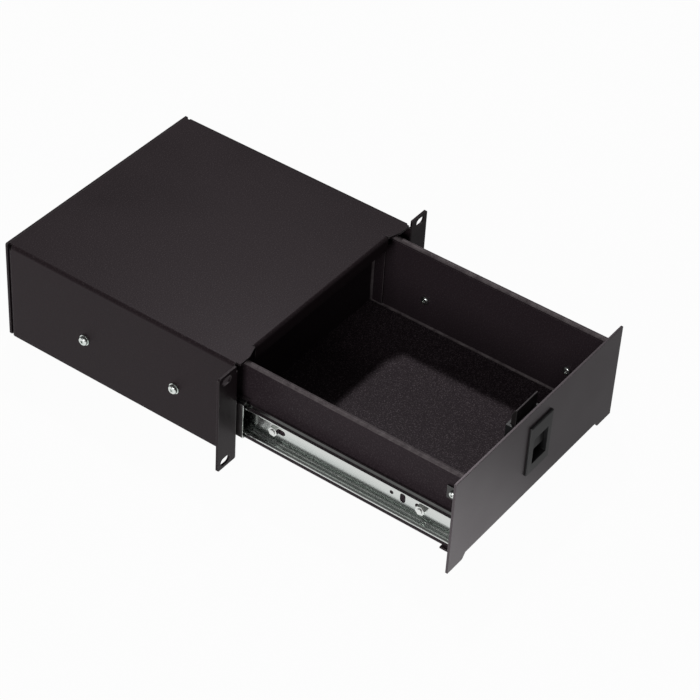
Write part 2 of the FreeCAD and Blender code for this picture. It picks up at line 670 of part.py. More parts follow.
def make_drawer_tray():
    """Floor and side walls with rolled top hems, folded from one sheet."""
    half = TRAY_HALF
    hem = half - HEM_WIDTH
    profile = [(-hem, TRAY_TOP - HEM_LIP), (-hem, TRAY_TOP), (-half, TRAY_TOP), (-half, TRAY_BOTTOM),
               (half, TRAY_BOTTOM), (half, TRAY_TOP), (hem, TRAY_TOP), (hem, TRAY_TOP - HEM_LIP)]
    bends = [HEM_BEND, HEM_BEND, FLOOR_BEND, FLOOR_BEND, HEM_BEND, HEM_BEND]
    tray = folded([vec(x, PANEL_BACK, z) for x, z in profile], TRAY_SHEET, bends,
                  vec(0, TRAY_REAR - PANEL_BACK, 0))
    leg_half = half - TRAY_SHEET - FLOOR_BEND + SHEET_GAP
    notch = block((-leg_half, leg_half), (PANEL_BACK - 1, PANEL_BACK + TRAY_SHEET + HEM_BEND + SHEET_GAP),
                  (TRAY_BOTTOM - 1, TRAY_BOTTOM + 2 * TRAY_SHEET))
    holes = [bore(M4 + HOLE_CLEARANCE, vec(0, y, SLIDE_CENTRE_Z), X_AXIS, CASE_WIDTH)
             for y in RUNNER_SCREW_YS]
    holes.append(bore(M3 + HOLE_CLEARANCE, vec(0, bracket_screw_y(), BRACKET_CENTRE_Z), X_AXIS,
                      CASE_WIDTH))
    return cut_all(tray, [notch] + holes)


def make_drawer_back():
    """Rear wall of the drawer, welded inside the side walls by its flanges."""
    half = TRAY_HALF - TRAY_SHEET - SHEET_GAP
    bottom = TRAY_BOTTOM + TRAY_SHEET + FLOOR_BEND
    top = TRAY_TOP - HEM_LIP - SHEET_GAP
    start = TRAY_REAR - BACK_FLANGE
    return folded(
        [vec(-half, start, bottom), vec(-half, TRAY_REAR, bottom),
         vec(half, TRAY_REAR, bottom), vec(half, start, bottom)],
        TRAY_SHEET, [FLOOR_BEND, FLOOR_BEND], vec(0, 0, top - bottom))


def make_slide_runner_screws():
    """Pan-head screws from inside the drawer into the runners."""
    inside = TRAY_HALF - TRAY_SHEET
    length = TRAY_SHEET + SLIDE_SHEET + M4
    return [pan_screw(M4, vec(side * inside, y, SLIDE_CENTRE_Z), vec(side, 0, 0), length)
            for side in (-1, 1) for y in RUNNER_SCREW_YS]


def make_slide_runner_nuts():
    """Nuts of the runner screws, inside the runner's channel."""
    seat = TRAY_HALF + SLIDE_SHEET
    return [nut(M4, vec(side * seat, y, SLIDE_CENTRE_Z), vec(side, 0, 0))
            for side in (-1, 1) for y in RUNNER_SCREW_YS]


def make_front_panel():
    """Flat front with a shallow notch along its bottom edge and the latch cut-out."""
    half = PANEL_HALF
    foot = PANEL_HALF - NOTCH_INSET
    low = PANEL_BOTTOM
    high = PANEL_TOP
    outline = [(-half, low), (-foot, low), (-foot + NOTCH_SLOPE, low + NOTCH_HEIGHT),
               (foot - NOTCH_SLOPE, low + NOTCH_HEIGHT), (foot, low), (half, low),
               (half, high), (-half, high)]
    panel = polygon_plate([vec(x, PANEL_FRONT, z) for x, z in outline], vec(0, PANEL_SHEET, 0))
    open_x = BEZEL_BODY_WIDTH / 2 + CUTOUT_CLEARANCE
    open_z = BEZEL_BODY_HEIGHT / 2 + CUTOUT_CLEARANCE
    return panel.cut(block((-open_x, open_x), (PANEL_FRONT - 1, PANEL_BACK + 1),
                           (LATCH_CENTRE_Z - open_z, LATCH_CENTRE_Z + open_z)))


def make_front_angle():
    """Angle under the drawer floor; its upright leg is bolted to the panel's studs."""
    half = ANGLE_HALF
    bottom = TRAY_BOTTOM - TRAY_SHEET
    angle = folded(
        [vec(-half, PANEL_BACK + ANGLE_DEPTH, bottom), vec(-half, PANEL_BACK, bottom),
         vec(-half, PANEL_BACK, bottom + ANGLE_HEIGHT)],
        TRAY_SHEET, [HEM_BEND], vec(2 * half, 0, 0))
    leg_half = TRAY_HALF - TRAY_SHEET - FLOOR_BEND
    trims = [block((side * leg_half, side * (half + 1)), (PANEL_BACK - 1, PANEL_BACK + 2 * TRAY_SHEET),
                   (TRAY_BOTTOM, bottom + ANGLE_HEIGHT + 1)) for side in (-1, 1)]
    holes = [bore(M4 + HOLE_CLEARANCE, vec(x, PANEL_BACK, angle_stud_z()), Y_AXIS, 2 * TRAY_SHEET)
             for x in ANGLE_STUD_XS]
    return cut_all(angle, trims + holes)


def angle_stud_z():
    """Height of the studs that carry the front angle."""
    return TRAY_BOTTOM + ANGLE_HEIGHT / 2


def latch_stud_x():
    """Distance of the latch studs from the middle."""
    return HOUSING_WIDTH / 2 + LUG_WIDTH / 2


def stud_places():
    """Thread, foot and seat depth of every stud welded to the back of the front panel."""
    for x in ANGLE_STUD_XS:
        yield M4, vec(x, PANEL_BACK, angle_stud_z()), TRAY_SHEET
    for side in (-1, 1):
        yield M3, vec(side * latch_stud_x(), PANEL_BACK, LATCH_CENTRE_Z), LUG_THICKNESS


def make_panel_studs():
    """Threaded studs welded to the back of the front panel."""
    return [bar(thread / 2, HOLE_SIDES, foot, foot + Y_AXIS * STUD_LENGTH)
            for thread, foot, _ in stud_places()]


def make_panel_nuts():
    """Nuts that hold the front angle and the latch housing on the studs."""
    return [nut(thread, foot + Y_AXIS * depth, Y_AXIS) for thread, foot, depth in stud_places()]


def bracket_screw_y():
    """Y of the screw through each side bracket."""
    return PANEL_BACK + BRACKET_LEG / 2 + TRAY_SHEET / 2


def make_side_bracket():
    """Left corner bracket between the outside of the drawer wall and the panel."""
    low = BRACKET_CENTRE_Z - BRACKET_HEIGHT / 2
    bracket = folded(
        [vec(-TRAY_HALF, PANEL_BACK + BRACKET_LEG, low), vec(-TRAY_HALF, PANEL_BACK, low),
         vec(-TRAY_HALF - BRACKET_REACH, PANEL_BACK, low)],
        TRAY_SHEET, [HEM_BEND], vec(0, 0, BRACKET_HEIGHT))
    return bracket.cut(bore(M3 + HOLE_CLEARANCE,
                            vec(-TRAY_HALF, bracket_screw_y(), BRACKET_CENTRE_Z), X_AXIS, BRACKET_LEG))


def make_bracket_screws():
    """Pan-head screws through the side brackets."""
    seat = TRAY_HALF + TRAY_SHEET
    return [pan_screw(M3, vec(side * seat, bracket_screw_y(), BRACKET_CENTRE_Z), vec(-side, 0, 0),
                      2 * TRAY_SHEET + M3) for side in (-1, 1)]


def make_bracket_nuts():
    """Nuts of the bracket screws, inside the drawer."""
    seat = TRAY_HALF - TRAY_SHEET
    return [nut(M3, vec(side * seat, bracket_screw_y(), BRACKET_CENTRE_Z), vec(-side, 0, 0))
            for side in (-1, 1)]


# Latch

def make_latch_bezel():
    """Moulded bezel: flange, window and finger cup, open above its back wall for the arms."""
    half = BEZEL_WIDTH / 2
    middle = LATCH_CENTRE_Z
    flange = block((-half, half), (PANEL_FRONT - BEZEL_PROUD, PANEL_FRONT),
                   (middle - BEZEL_HEIGHT / 2, middle + BEZEL_HEIGHT / 2))
    rim = [edge for edge in flange.Edges
           if abs(edge.CenterOfMass.y - PANEL_FRONT + BEZEL_PROUD) < 1e-6]
    flange = flange.makeFillet(BEZEL_CORNER, rim)
    body_half = BEZEL_BODY_WIDTH / 2
    body_low = middle - BEZEL_BODY_HEIGHT / 2
    body_high = middle + BEZEL_BODY_HEIGHT / 2
    body_rear = PANEL_FRONT + BEZEL_BODY_DEPTH
    body = block((-body_half, body_half), (PANEL_FRONT, body_rear), (body_low, body_high))
    opening = WINDOW_WIDTH / 2
    window = block((-opening, opening), (PANEL_FRONT - BEZEL_PROUD - 1, PANEL_FRONT + 1),
                   (WINDOW_BOTTOM, WINDOW_TOP))
    cavity = block((-opening, opening), (PANEL_FRONT, body_rear - CUP_WALL),
                   (WINDOW_BOTTOM, body_high - LATCH_WALL))
    passage = block((-opening, opening), (PANEL_FRONT + CUP_WALL, body_rear + 1),
                    (LATCH_CENTRE_Z + CUP_BACK_RISE, body_high - LATCH_WALL))
    scoop_rear = body_rear - CUP_WALL
    scoop = polygon_plate(
        [vec(-opening, scoop_rear - SCOOP_RISE, WINDOW_BOTTOM), vec(-opening, scoop_rear, WINDOW_BOTTOM),
         vec(-opening, scoop_rear, WINDOW_BOTTOM + SCOOP_RISE)], vec(2 * opening, 0, 0))
    pin = rod(PIN_DIAMETER / 2 + PIN_CLEARANCE / 2, vec(-PIN_LENGTH / 2, PIVOT_Y, PIVOT_Z),
              vec(PIN_LENGTH / 2, PIVOT_Y, PIVOT_Z))
    hollow = cut_all(joined([flange, body]), [window, cavity, passage])
    return joined([hollow, scoop]).cut(pin)


def make_latch_pin():
    """Pivot pin of the paddle."""
    end = PIN_LENGTH / 2 - PIN_CLEARANCE
    return rod(PIN_DIAMETER / 2, vec(-end, PIVOT_Y, PIVOT_Z), vec(end, PIVOT_Y, PIVOT_Z))


def make_latch_paddle():
    """Finger paddle: hub, leaning face with a rolled lower edge, and two arms to the bolt."""
    half = WINDOW_WIDTH / 2 - LATCH_CLEARANCE
    hub = rod(PADDLE_HUB, vec(-half, PIVOT_Y, PIVOT_Z), vec(half, PIVOT_Y, PIVOT_Z))
    edge_y = PANEL_FRONT + PADDLE_EDGE_DEPTH + PADDLE_THICKNESS / 2
    edge_z = LATCH_CENTRE_Z - PADDLE_EDGE_DROP
    lean = (vec(0, edge_y, edge_z) - vec(0, PIVOT_Y, PIVOT_Z)).normalize()
    across = lean.cross(X_AXIS) * (PADDLE_THICKNESS / 2)
    top = vec(-half, PIVOT_Y, PIVOT_Z)
    bottom = vec(-half, edge_y, edge_z)
    face = polygon_plate([top + across, bottom + across, bottom - across, top - across],
                         vec(2 * half, 0, 0))
    edge = rod(PADDLE_THICKNESS / 2, bottom, bottom + X_AXIS * (2 * half))
    pieces = [hub, face, edge]
    tip_y = PIVOT_Y + ARM_LENGTH * math.cos(math.radians(PADDLE_SWING / 2))
    for side in (-1, 1):
        start = side * ARM_X - ARM_WIDTH / 2
        root = vec(start, PIVOT_Y, PIVOT_Z)
        tip = vec(start, tip_y, ARM_TIP_Z)
        rise = X_AXIS.cross((tip - root).normalize()) * (ARM_THICKNESS / 2)
        pieces.append(polygon_plate([root + rise, tip + rise, tip - rise, root - rise],
                                    vec(ARM_WIDTH, 0, 0)))
        pieces.append(rod(ARM_TIP_RADIUS, tip, tip + X_AXIS * ARM_WIDTH))
    hole = rod(PIN_DIAMETER / 2 + PIN_CLEARANCE, vec(-half - 1, PIVOT_Y, PIVOT_Z),
               vec(half + 1, PIVOT_Y, PIVOT_Z))
    return joined(pieces).cut(hole)


def make_latch_bolt():
    """Sprung bolt plate with a bevelled nose and a slot for each paddle arm."""
    half = BOLT_WIDTH / 2
    rear = BOLT_FRONT + BOLT_THICKNESS
    profile = [vec(-half, BOLT_FRONT, BOLT_BOTTOM), vec(-half, rear, BOLT_BOTTOM),
               vec(-half, rear, BOLT_TOP - BOLT_BEVEL), vec(-half, BOLT_FRONT + BOLT_NOSE, BOLT_TOP),
               vec(-half, BOLT_FRONT, BOLT_TOP)]
    bolt = polygon_plate(profile, vec(2 * half, 0, 0))
    slot_half_x = ARM_WIDTH / 2 + LATCH_CLEARANCE
    slot_half_z = ARM_TIP_RADIUS + LATCH_CLEARANCE
    slots = [block((side * ARM_X - slot_half_x, side * ARM_X + slot_half_x),
                   (BOLT_FRONT - 1, rear + 1), (ARM_TIP_Z - slot_half_z, ARM_TIP_Z + slot_half_z))
             for side in (-1, 1)]
    return cut_all(bolt, slots)


def make_latch_housing():
    """Moulded housing behind the panel that guides the bolt and carries the spring."""
    half = HOUSING_WIDTH / 2
    shell = block((-half, half), (PANEL_BACK, HOUSING_REAR), (HOUSING_BOTTOM, HOUSING_TOP))
    lug_z = (LATCH_CENTRE_Z - LUG_HEIGHT / 2, LATCH_CENTRE_Z + LUG_HEIGHT / 2)
    lugs = block((-half - LUG_WIDTH, half + LUG_WIDTH), (PANEL_BACK, PANEL_BACK + LUG_THICKNESS), lug_z)
    floor = HOUSING_BOTTOM + LATCH_WALL
    body_half = BEZEL_BODY_WIDTH / 2 + LATCH_CLEARANCE
    guide_half = BOLT_WIDTH / 2 + LATCH_CLEARANCE
    guide_front = BOLT_FRONT - LATCH_CLEARANCE
    front_room = block((-body_half, body_half), (PANEL_BACK - 1, guide_front), (floor, HOUSING_TOP + 1))
    guide = block((-guide_half, guide_half), (guide_front, HOUSING_REAR - LATCH_WALL),
                  (floor, HOUSING_TOP + 1))
    holes = [bore(M3 + HOLE_CLEARANCE, vec(side * latch_stud_x(), PANEL_BACK, LATCH_CENTRE_Z),
                  Y_AXIS, 2 * LUG_THICKNESS) for side in (-1, 1)]
    return cut_all(joined([shell, lugs]), [front_room, guide] + holes)


def make_latch_spring():
    """Compression spring that stands on the housing floor and lifts the bolt."""
    low = HOUSING_BOTTOM + LATCH_WALL + SPRING_WIRE / 2
    high = BOLT_BOTTOM - SPRING_WIRE / 2
    radius = (SPRING_DIAMETER - SPRING_WIRE) / 2
    centre = vec(0, BOLT_FRONT + BOLT_THICKNESS / 2, low)
    helix = Part.makeHelix((high - low) / SPRING_TURNS, high - low, radius)
    helix.translate(centre)
    half = SPRING_WIRE / 2
    section = [centre + vec(radius + x, 0, z)
               for x, z in ((-half, -half), (half, -half), (half, half), (-half, half))]
    return Part.Wire(helix).makePipeShell([Part.makePolygon(section + [section[0]])], True, True)


def save(name, shapes):
    """Write one named part, made of one solid or of a group of separate ones."""
    if isinstance(shapes, list):
        shapes = Part.makeCompound(shapes)
    if not shapes.isValid():
        raise ValueError(name + " is not a valid shape")
    placed = shapes.translated(vec(0, 0, -RACK_HEIGHT / 2))
    placed.exportStep(os.path.join("parts", name + ".step"))
    print(name, len(shapes.Solids), round(shapes.Volume, 1))


def main():
    """Build every part of the rack drawer."""
    os.makedirs("parts", exist_ok=True)
    single = {
        "case_shell": make_case_shell, "base_plate": make_base_plate, "rear_panel": make_rear_panel,
        "rear_screws": make_rear_screws, "slide_outer_screws": make_slide_screws,
        "slide_outer_washers": make_slide_washers, "drawer_tray": make_drawer_tray,
        "drawer_back": make_drawer_back, "slide_runner_screws": make_slide_runner_screws,
        "slide_runner_nuts": make_slide_runner_nuts, "front_panel": make_front_panel,
        "front_angle": make_front_angle, "panel_studs": make_panel_studs,
        "panel_nuts": make_panel_nuts, "bracket_screws": make_bracket_screws,
        "bracket_nuts": make_bracket_nuts, "latch_bezel": make_latch_bezel,
        "latch_pin": make_latch_pin, "latch_paddle": make_latch_paddle,
        "latch_bolt": make_latch_bolt, "latch_housing": make_latch_housing,
        "latch_spring": make_latch_spring,
    }
    paired = {
        "slide_outer": make_slide_outer, "slide_runner": make_slide_runner,
        "ball_cage": make_ball_cage, "slide_balls": make_balls, "slide_bumper": make_bumper,
        "side_bracket": make_side_bracket,
    }
    for name, make in single.items():
        save(name, make())
    for name, make in paired.items():
        left = make()
        shapes = left if isinstance(left, list) else [left]
        right = [mirrored(shape) for shape in shapes]
        save(name + "_left", left)
        save(name + "_right", right if isinstance(left, list) else right[0])


main()
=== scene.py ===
"""Sliding rack drawer: finishes, fasteners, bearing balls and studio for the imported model.

Metres, in the frame of the CAD model: X right as seen from the front, Y to the back, Z up.
"""
import json
import logging
import math
from collections.abc import Callable, ItemsView, Iterator
from dataclasses import dataclass
from enum import Enum

import bmesh
import bpy
from mathutils import Matrix, Vector


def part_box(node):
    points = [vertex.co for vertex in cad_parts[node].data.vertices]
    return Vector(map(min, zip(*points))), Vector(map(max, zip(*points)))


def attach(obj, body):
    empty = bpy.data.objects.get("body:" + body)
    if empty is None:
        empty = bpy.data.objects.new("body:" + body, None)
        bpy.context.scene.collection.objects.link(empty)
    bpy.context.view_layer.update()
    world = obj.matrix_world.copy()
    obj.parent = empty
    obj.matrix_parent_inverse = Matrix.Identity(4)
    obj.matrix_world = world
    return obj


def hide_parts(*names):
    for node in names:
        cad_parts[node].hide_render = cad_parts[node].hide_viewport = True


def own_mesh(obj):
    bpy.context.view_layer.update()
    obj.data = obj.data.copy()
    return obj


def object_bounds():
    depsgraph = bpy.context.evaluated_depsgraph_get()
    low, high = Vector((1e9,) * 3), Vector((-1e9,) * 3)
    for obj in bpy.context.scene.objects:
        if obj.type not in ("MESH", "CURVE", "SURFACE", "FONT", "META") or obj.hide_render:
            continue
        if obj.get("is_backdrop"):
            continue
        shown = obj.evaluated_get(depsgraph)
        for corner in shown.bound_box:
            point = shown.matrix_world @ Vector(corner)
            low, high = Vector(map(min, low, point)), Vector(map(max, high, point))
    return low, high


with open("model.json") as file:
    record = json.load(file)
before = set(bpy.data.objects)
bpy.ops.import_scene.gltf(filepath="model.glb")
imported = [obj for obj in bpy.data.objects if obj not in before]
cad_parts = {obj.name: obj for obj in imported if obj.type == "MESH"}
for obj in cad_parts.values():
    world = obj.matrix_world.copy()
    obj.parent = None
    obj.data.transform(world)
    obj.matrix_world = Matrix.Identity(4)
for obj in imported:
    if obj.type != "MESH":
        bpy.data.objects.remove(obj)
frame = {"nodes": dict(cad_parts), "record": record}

LOG = logging.getLogger("rack_drawer")
MM = 0.001
Colour = tuple[float, float, float]
Triple = tuple[float, float, float]
Socket = bpy.types.NodeSocket
Piece = bpy.types.Object
Seat = tuple[Vector, Vector, Vector]
EVEN: Triple = (1.0, 1.0, 1.0)

# How copies of the solids are cleaned and shaded
WELD = 0.002 * MM
SLIVER = 0.02 * MM
FLAT_ANGLE = math.radians(1.0)
SLIGHT_ANGLE = math.radians(3.0)
FACET_ANGLE = math.radians(32.0)
SHARP_ANGLE = math.radians(35.0)
SMOOTH_ANGLE = math.radians(40.0)
TIGHT_BEND = 0.4 * MM
# share of the lighter rim colour on tight outer bends: a painted highlight along hems, with thin
# coat
BEND_HIGHLIGHT = 0.8
BOX_DIGITS = 4

# Noises: the middle range that carries nearly all values, and scales in waves per metre
NOISE_LOW = 0.3
NOISE_HIGH = 0.7
SPECK_START = 0.52
SPECK_FULL = 0.68
BROAD_SCALE = 14.0
PATCH_SCALE = 160.0
CLOUD_SCALE = 60.0
# least share of the lighter edge line, which stands for worn edges and a painted highlight
LEAST_WEAR_AND_HIGHLIGHT = 0.35
FINE_WEIGHT = 0.7
PEBBLE_WEIGHT = -0.5
TONE_SHARE = 0.5

# Which up-facing surfaces hold more specks, by the height of their normal: specks there stand
# partly for powder grain and partly for painted glints of the light from above
LEVEL_START = 0.2
LEVEL_FULL = 0.9
LEAST_SPECK = 0.25

# Fasteners, as shares of the thread diameter
HEAD_RADIUS = 0.95
HEAD_HEIGHT = 0.7
RECESS_WIDTH = 0.22
RECESS_DEPTH = 0.42
NUT_HEIGHT = 0.8
NUT_FLATS = 1.5
NUT_FLATS_EXTRA = 1.0 * MM
NUT_HOLE_EXTRA = 0.2 * MM

# Forms of the fasteners, as shares of their own sizes
RECESS_REACH = 2.9
DOME_SPREAD = 0.5
DOME_RISE = 0.6
CROWN_RADIUS = 1.07
RIDGE_DEPTH = 0.22
CUTTER_HEIGHT = 3.0
LEAST_LENGTH = 0.001


class Slot(Enum):
    """Material slots of the record."""

    CASE_PAINT = "case_paint"
    DRAWER_PAINT = "drawer_paint"
    PANEL_PAINT = "panel_paint"
    SLIDE_ZINC = "slide_zinc"
    SCREW_ZINC = "screw_zinc"
    BRACKET_ZINC = "bracket_zinc"
    CAGE_STEEL = "cage_steel"
    BALL_STEEL = "ball_steel"
    PIN_STEEL = "pin_steel"
    SPRING_STEEL = "spring_steel"
    LATCH_PLASTIC = "latch_plastic"
    BOLT_STEEL = "bolt_steel"
    BUMPER_PLASTIC = "bumper_plastic"


# Node trees

class Graph:
    """A node tree filled by short calls."""

    def __init__(self, tree: bpy.types.NodeTree) -> None:
        """Start from a tree.

        Args:
            tree: The shader or geometry tree that receives the nodes.
        """
        self.tree = tree

    def add(self, kind: str, inputs: dict[str | int, object] | None = None,
            **settings: object) -> bpy.types.Node:
        """Add a node and feed its inputs.

        Args:
            kind: The node's type name.
            inputs: Values or output sockets, by socket name or number.
            settings: Attributes set on the node itself.

        Returns:
            The new node.
        """
        node = self.tree.nodes.new(kind)
        for name, value in settings.items():
            setattr(node, name, value)
        for key, value in (inputs or {}).items():
            self.feed(node.inputs[key], value)
        return node

    def feed(self, socket: Socket, value: object) -> None:
        """Link an output socket to an input, or set the input's value.

        Args:
            socket: The input.
            value: The output socket or the plain value.
        """
        if isinstance(value, Socket):
            self.tree.links.new(value, socket)
        else:
            socket.default_value = value

    def math(self, operation: str, *values: object) -> Socket:
        """Add a math node and return its result."""
        node = self.add("ShaderNodeMath", dict(enumerate(values)), operation=operation)
        return node.outputs[0]

    def vector(self, operation: str, *values: object) -> Socket:
        """Add a vector math node and return its vector."""
        node = self.add("ShaderNodeVectorMath", dict(enumerate(values)), operation=operation)
        return node.outputs["Vector"]


class ShaderGraph(Graph):
    """A shader tree, with the steps that finishes share."""

    def place(self) -> Socket:
        """Return the place on the object."""
        return self.add("ShaderNodeTexCoord").outputs["Object"]

    def noise(self, place: Socket, scale: object, detail: float = 2.0,
              roughness: float = 0.5) -> Socket:
        """Add a noise over a place and return its value."""
        return self.add("ShaderNodeTexNoise", {"Vector": place, "Scale": scale, "Detail": detail,
                                               "Roughness": roughness}).outputs["Fac"]

    def mixed(self, mask: Socket, low: Socket | Colour, high: Colour) -> Socket:
        """Mix two colours by a mask.

        Args:
            mask: Share of the second colour.
            low: The first colour, or a socket that gives it.
            high: The second colour.

        Returns:
            The mixed colour.
        """
        node = self.add("ShaderNodeMix", {"Factor": mask}, data_type="RGBA")
        first, second = [socket for socket in node.inputs if socket.type == "RGBA"]
        self.feed(first, low if isinstance(low, Socket) else (*low, 1.0))
        self.feed(second, (*high, 1.0))
        return next(socket for socket in node.outputs if socket.type == "RGBA")

    def spread(self, noise: Socket, low: float, high: float) -> Socket:
        """Stretch the middle of a noise to a range.

        Args:
            noise: The noise.
            low: The result where the noise is low.
            high: The result where the noise is high.

        Returns:
            The stretched value.
        """
        return self.add("ShaderNodeMapRange", {
            "Value": noise, "From Min": NOISE_LOW, "From Max": NOISE_HIGH, "To Min": low,
            "To Max": high}).outputs["Result"]

    def group(self, name: str, inputs: dict[str, object]) -> bpy.types.Node:
        """Place the group of that name in GROUPS and feed its inputs."""
        return self.add("ShaderNodeGroup", inputs, node_tree=GROUPS[name])


def emptied(owner: bpy.types.Material | bpy.types.World) -> ShaderGraph:
    """Turn on the nodes of a material or world.

    Args:
        owner: The material or world.

    Returns:
        Its graph, with no node.
    """
    owner.use_nodes = True
    owner.node_tree.nodes.clear()
    return ShaderGraph(owner.node_tree)


def started_group(name: str, inputs: dict[str, object],
                  outputs: tuple[str, ...]) -> tuple[ShaderGraph, bpy.types.bpy_prop_collection]:
    """Start a shader node group.

    Args:
        name: The group's name.
        inputs: Default number or vector by input name.
        outputs: Names of the outputs, which are numbers.

    Returns:
        The group's graph, and what it is given, by input name.
    """
    tree = bpy.data.node_groups.new(name, "ShaderNodeTree")
    for label, value in inputs.items():
        kind = "NodeSocketVector" if isinstance(value, tuple) else "NodeSocketFloat"
        socket = tree.interface.new_socket(label, in_out="INPUT", socket_type=kind)
        socket.default_value = value
    for label in outputs:
        tree.interface.new_socket(label, in_out="OUTPUT", socket_type="NodeSocketFloat")
    graph = ShaderGraph(tree)
    return graph, graph.add("NodeGroupInput").outputs


def powder_grain_group() -> bpy.types.NodeTree:
    """Build the fine pebbled grain of powder coat.

    Returns:
        A group with a height, a mask of bright specks, which the coats also use as painted glints,
        and a mask of broad uneven tone.
    """
    graph, given = started_group("Powder Grain", {"Grain Size": 0.6 * MM},
                                 ("Height", "Speck", "Tone"))
    place = graph.place()
    scale = graph.math("DIVIDE", 1.0, given["Grain Size"])
    fine = graph.noise(place, scale, detail=3.0, roughness=0.6)
    pebble = graph.add("ShaderNodeTexVoronoi", {"Vector": place, "Scale": scale},
                       feature="SMOOTH_F1")
    height = graph.math("ADD", graph.math("MULTIPLY", fine, FINE_WEIGHT),
                        graph.math("MULTIPLY", pebble.outputs["Distance"], PEBBLE_WEIGHT))
    speck_and_glint = graph.add("ShaderNodeMapRange", {"Value": fine, "From Min": SPECK_START,
                                             "From Max": SPECK_FULL}).outputs["Result"]
    graph.add("NodeGroupOutput", {"Height": height, "Speck": speck_and_glint,
                                  "Tone": graph.noise(place, BROAD_SCALE)})
    return graph.tree


def edge_wear_and_highlight_group() -> bpy.types.NodeTree:
    """Build the broken line of lighter colour along eased edges: thin coat on paint, worn plating
    on metal, and a painted highlight on both.

    Returns:
        A group whose mask is high on the rim of a piece, uneven along its length.
    """
    graph, given = started_group("Edge Wear And Highlight", {"Amount": 0.5}, ("Mask",))
    rim = graph.add("ShaderNodeAttribute", attribute_name="rim").outputs["Fac"]
    broken = graph.spread(graph.noise(graph.place(), PATCH_SCALE, detail=3.0), LEAST_WEAR_AND_HIGHLIGHT, 1.0)
    mask = graph.math("MULTIPLY", graph.math("MULTIPLY", rim, broken), given["Amount"])
    graph.add("NodeGroupOutput", {"Mask": mask})
    return graph.tree


def rolled_streak_group() -> bpy.types.NodeTree:
    """Build the lengthwise streaks that roll forming and drawing leave in plated metal.

    Returns:
        A group with a height and a tone, both drawn out along one axis.
    """
    graph, given = started_group("Rolled Streaks", {"Stretch": (1.0, 0.02, 1.0), "Scale": 900.0},
                                 ("Height", "Tone"))
    drawn = graph.vector("MULTIPLY", graph.place(), given["Stretch"])
    graph.add("NodeGroupOutput", {"Height": graph.noise(drawn, given["Scale"], detail=1.5),
                                  "Tone": graph.noise(drawn, CLOUD_SCALE)})
    return graph.tree


GROUPS = {"grain": powder_grain_group(), "wear_and_highlight": edge_wear_and_highlight_group(),
          "streaks": rolled_streak_group()}


# Finishes

@dataclass(frozen=True)
class Finish:
    """A named surface finish that builds its own material."""

    name: str
    colour: Colour
    roughness: float
    roughness_play: tuple[float, float] = (-0.04, 0.04)
    # colour along eased edges and outer bends: worn edge and painted highlight
    rim: Colour = (0.12, 0.115, 0.115)
    wear_and_highlight: float = 0.8
    unevenness: float = 1.35

    def material(self) -> bpy.types.Material:
        """Build the finish.

        Returns:
            Its material.
        """
        material = bpy.data.materials.new(self.name)
        graph = emptied(material)
        shader = graph.add("ShaderNodeBsdfPrincipled")
        graph.add("ShaderNodeOutputMaterial", {"Surface": shader.outputs["BSDF"]})
        self.paint(graph, shader)
        return material

    def paint(self, graph: ShaderGraph, shader: bpy.types.Node) -> None:
        """Feed the inputs of the shader.

        Args:
            graph: The material's graph.
            shader: Its Principled shader.
        """
        raise NotImplementedError

    def uneven_colour(self) -> Colour:
        """Return the colour of the lighter patches."""
        return tuple(self.unevenness * part for part in self.colour)

    def surface(self, graph: ShaderGraph, shader: bpy.types.Node, base: Socket, noise: Socket,
                relief: tuple[Socket, float]) -> None:
        """Feed the shader with a colour lighter along its rims (worn edges and painted highlight),
        an uneven roughness and a relief.

        Args:
            graph: The material's graph.
            shader: Its Principled shader.
            base: The colour away from the rims.
            noise: The noise that spreads the roughness.
            relief: The height of the relief and its depth in metres.
        """
        # the rims take a lighter colour: worn edges and a painted highlight along them
        wear_and_highlight = graph.group("wear_and_highlight", {"Amount": self.wear_and_highlight})
        low, high = (self.roughness + play for play in self.roughness_play)
        bump = graph.add("ShaderNodeBump", {"Height": relief[0], "Strength": 1.0,
                                            "Distance": relief[1]})
        graph.feed(shader.inputs["Base Color"], graph.mixed(wear_and_highlight.outputs["Mask"], base, self.rim))
        graph.feed(shader.inputs["Roughness"], graph.spread(noise, low, high))
        graph.feed(shader.inputs["Normal"], bump.outputs["Normal"])


@dataclass(frozen=True)
class PowderCoat(Finish):
    """Satin black powder coat with a pebbled grain, specks that are partly painted glints on faces
    looking up, and a lighter line along its edges that is partly painted highlight.
    """

    # bright specks: powder grain, and painted glints on faces looking up
    speck_and_glint: Colour = (0.11, 0.10, 0.10)
    speck_share: float = 0.35
    grain_size: float = 0.55 * MM
    grain_depth: float = 0.05 * MM
    specular: float = 0.35
    specular_tint: Colour = (1.0, 0.86, 0.94)

    def paint(self, graph: ShaderGraph, shader: bpy.types.Node) -> None:
        """Feed the shader with the coat: its grain, its specks, with more of them as painted glints
        on faces looking up, and its patches of tone.
        """
        grain = graph.group("grain", {"Grain Size": self.grain_size})
        # more specks on faces looking up: a painted glint of the light from above
        normal = graph.add("ShaderNodeTexCoord").outputs["Normal"]
        upward = graph.add("ShaderNodeSeparateXYZ", {0: normal}).outputs["Z"]
        glint_facing_up = graph.add("ShaderNodeMapRange", {"Value": upward, "From Min": LEVEL_START,
                                                     "From Max": LEVEL_FULL,
                                                     "To Min": LEAST_SPECK})
        speck_and_glint = graph.math("MULTIPLY", graph.math("MULTIPLY", grain.outputs["Speck"],
                                                  self.speck_share), glint_facing_up.outputs["Result"])
        tone = graph.spread(grain.outputs["Tone"], 0.0, TONE_SHARE)
        base = graph.mixed(tone, self.colour, self.uneven_colour())
        base = graph.mixed(speck_and_glint, base, self.speck_and_glint)
        self.surface(graph, shader, base, grain.outputs["Tone"],
                     (grain.outputs["Height"], self.grain_depth))
        graph.feed(shader.inputs["Specular IOR Level"], self.specular)
        graph.feed(shader.inputs["Specular Tint"], (*self.specular_tint, 1.0))


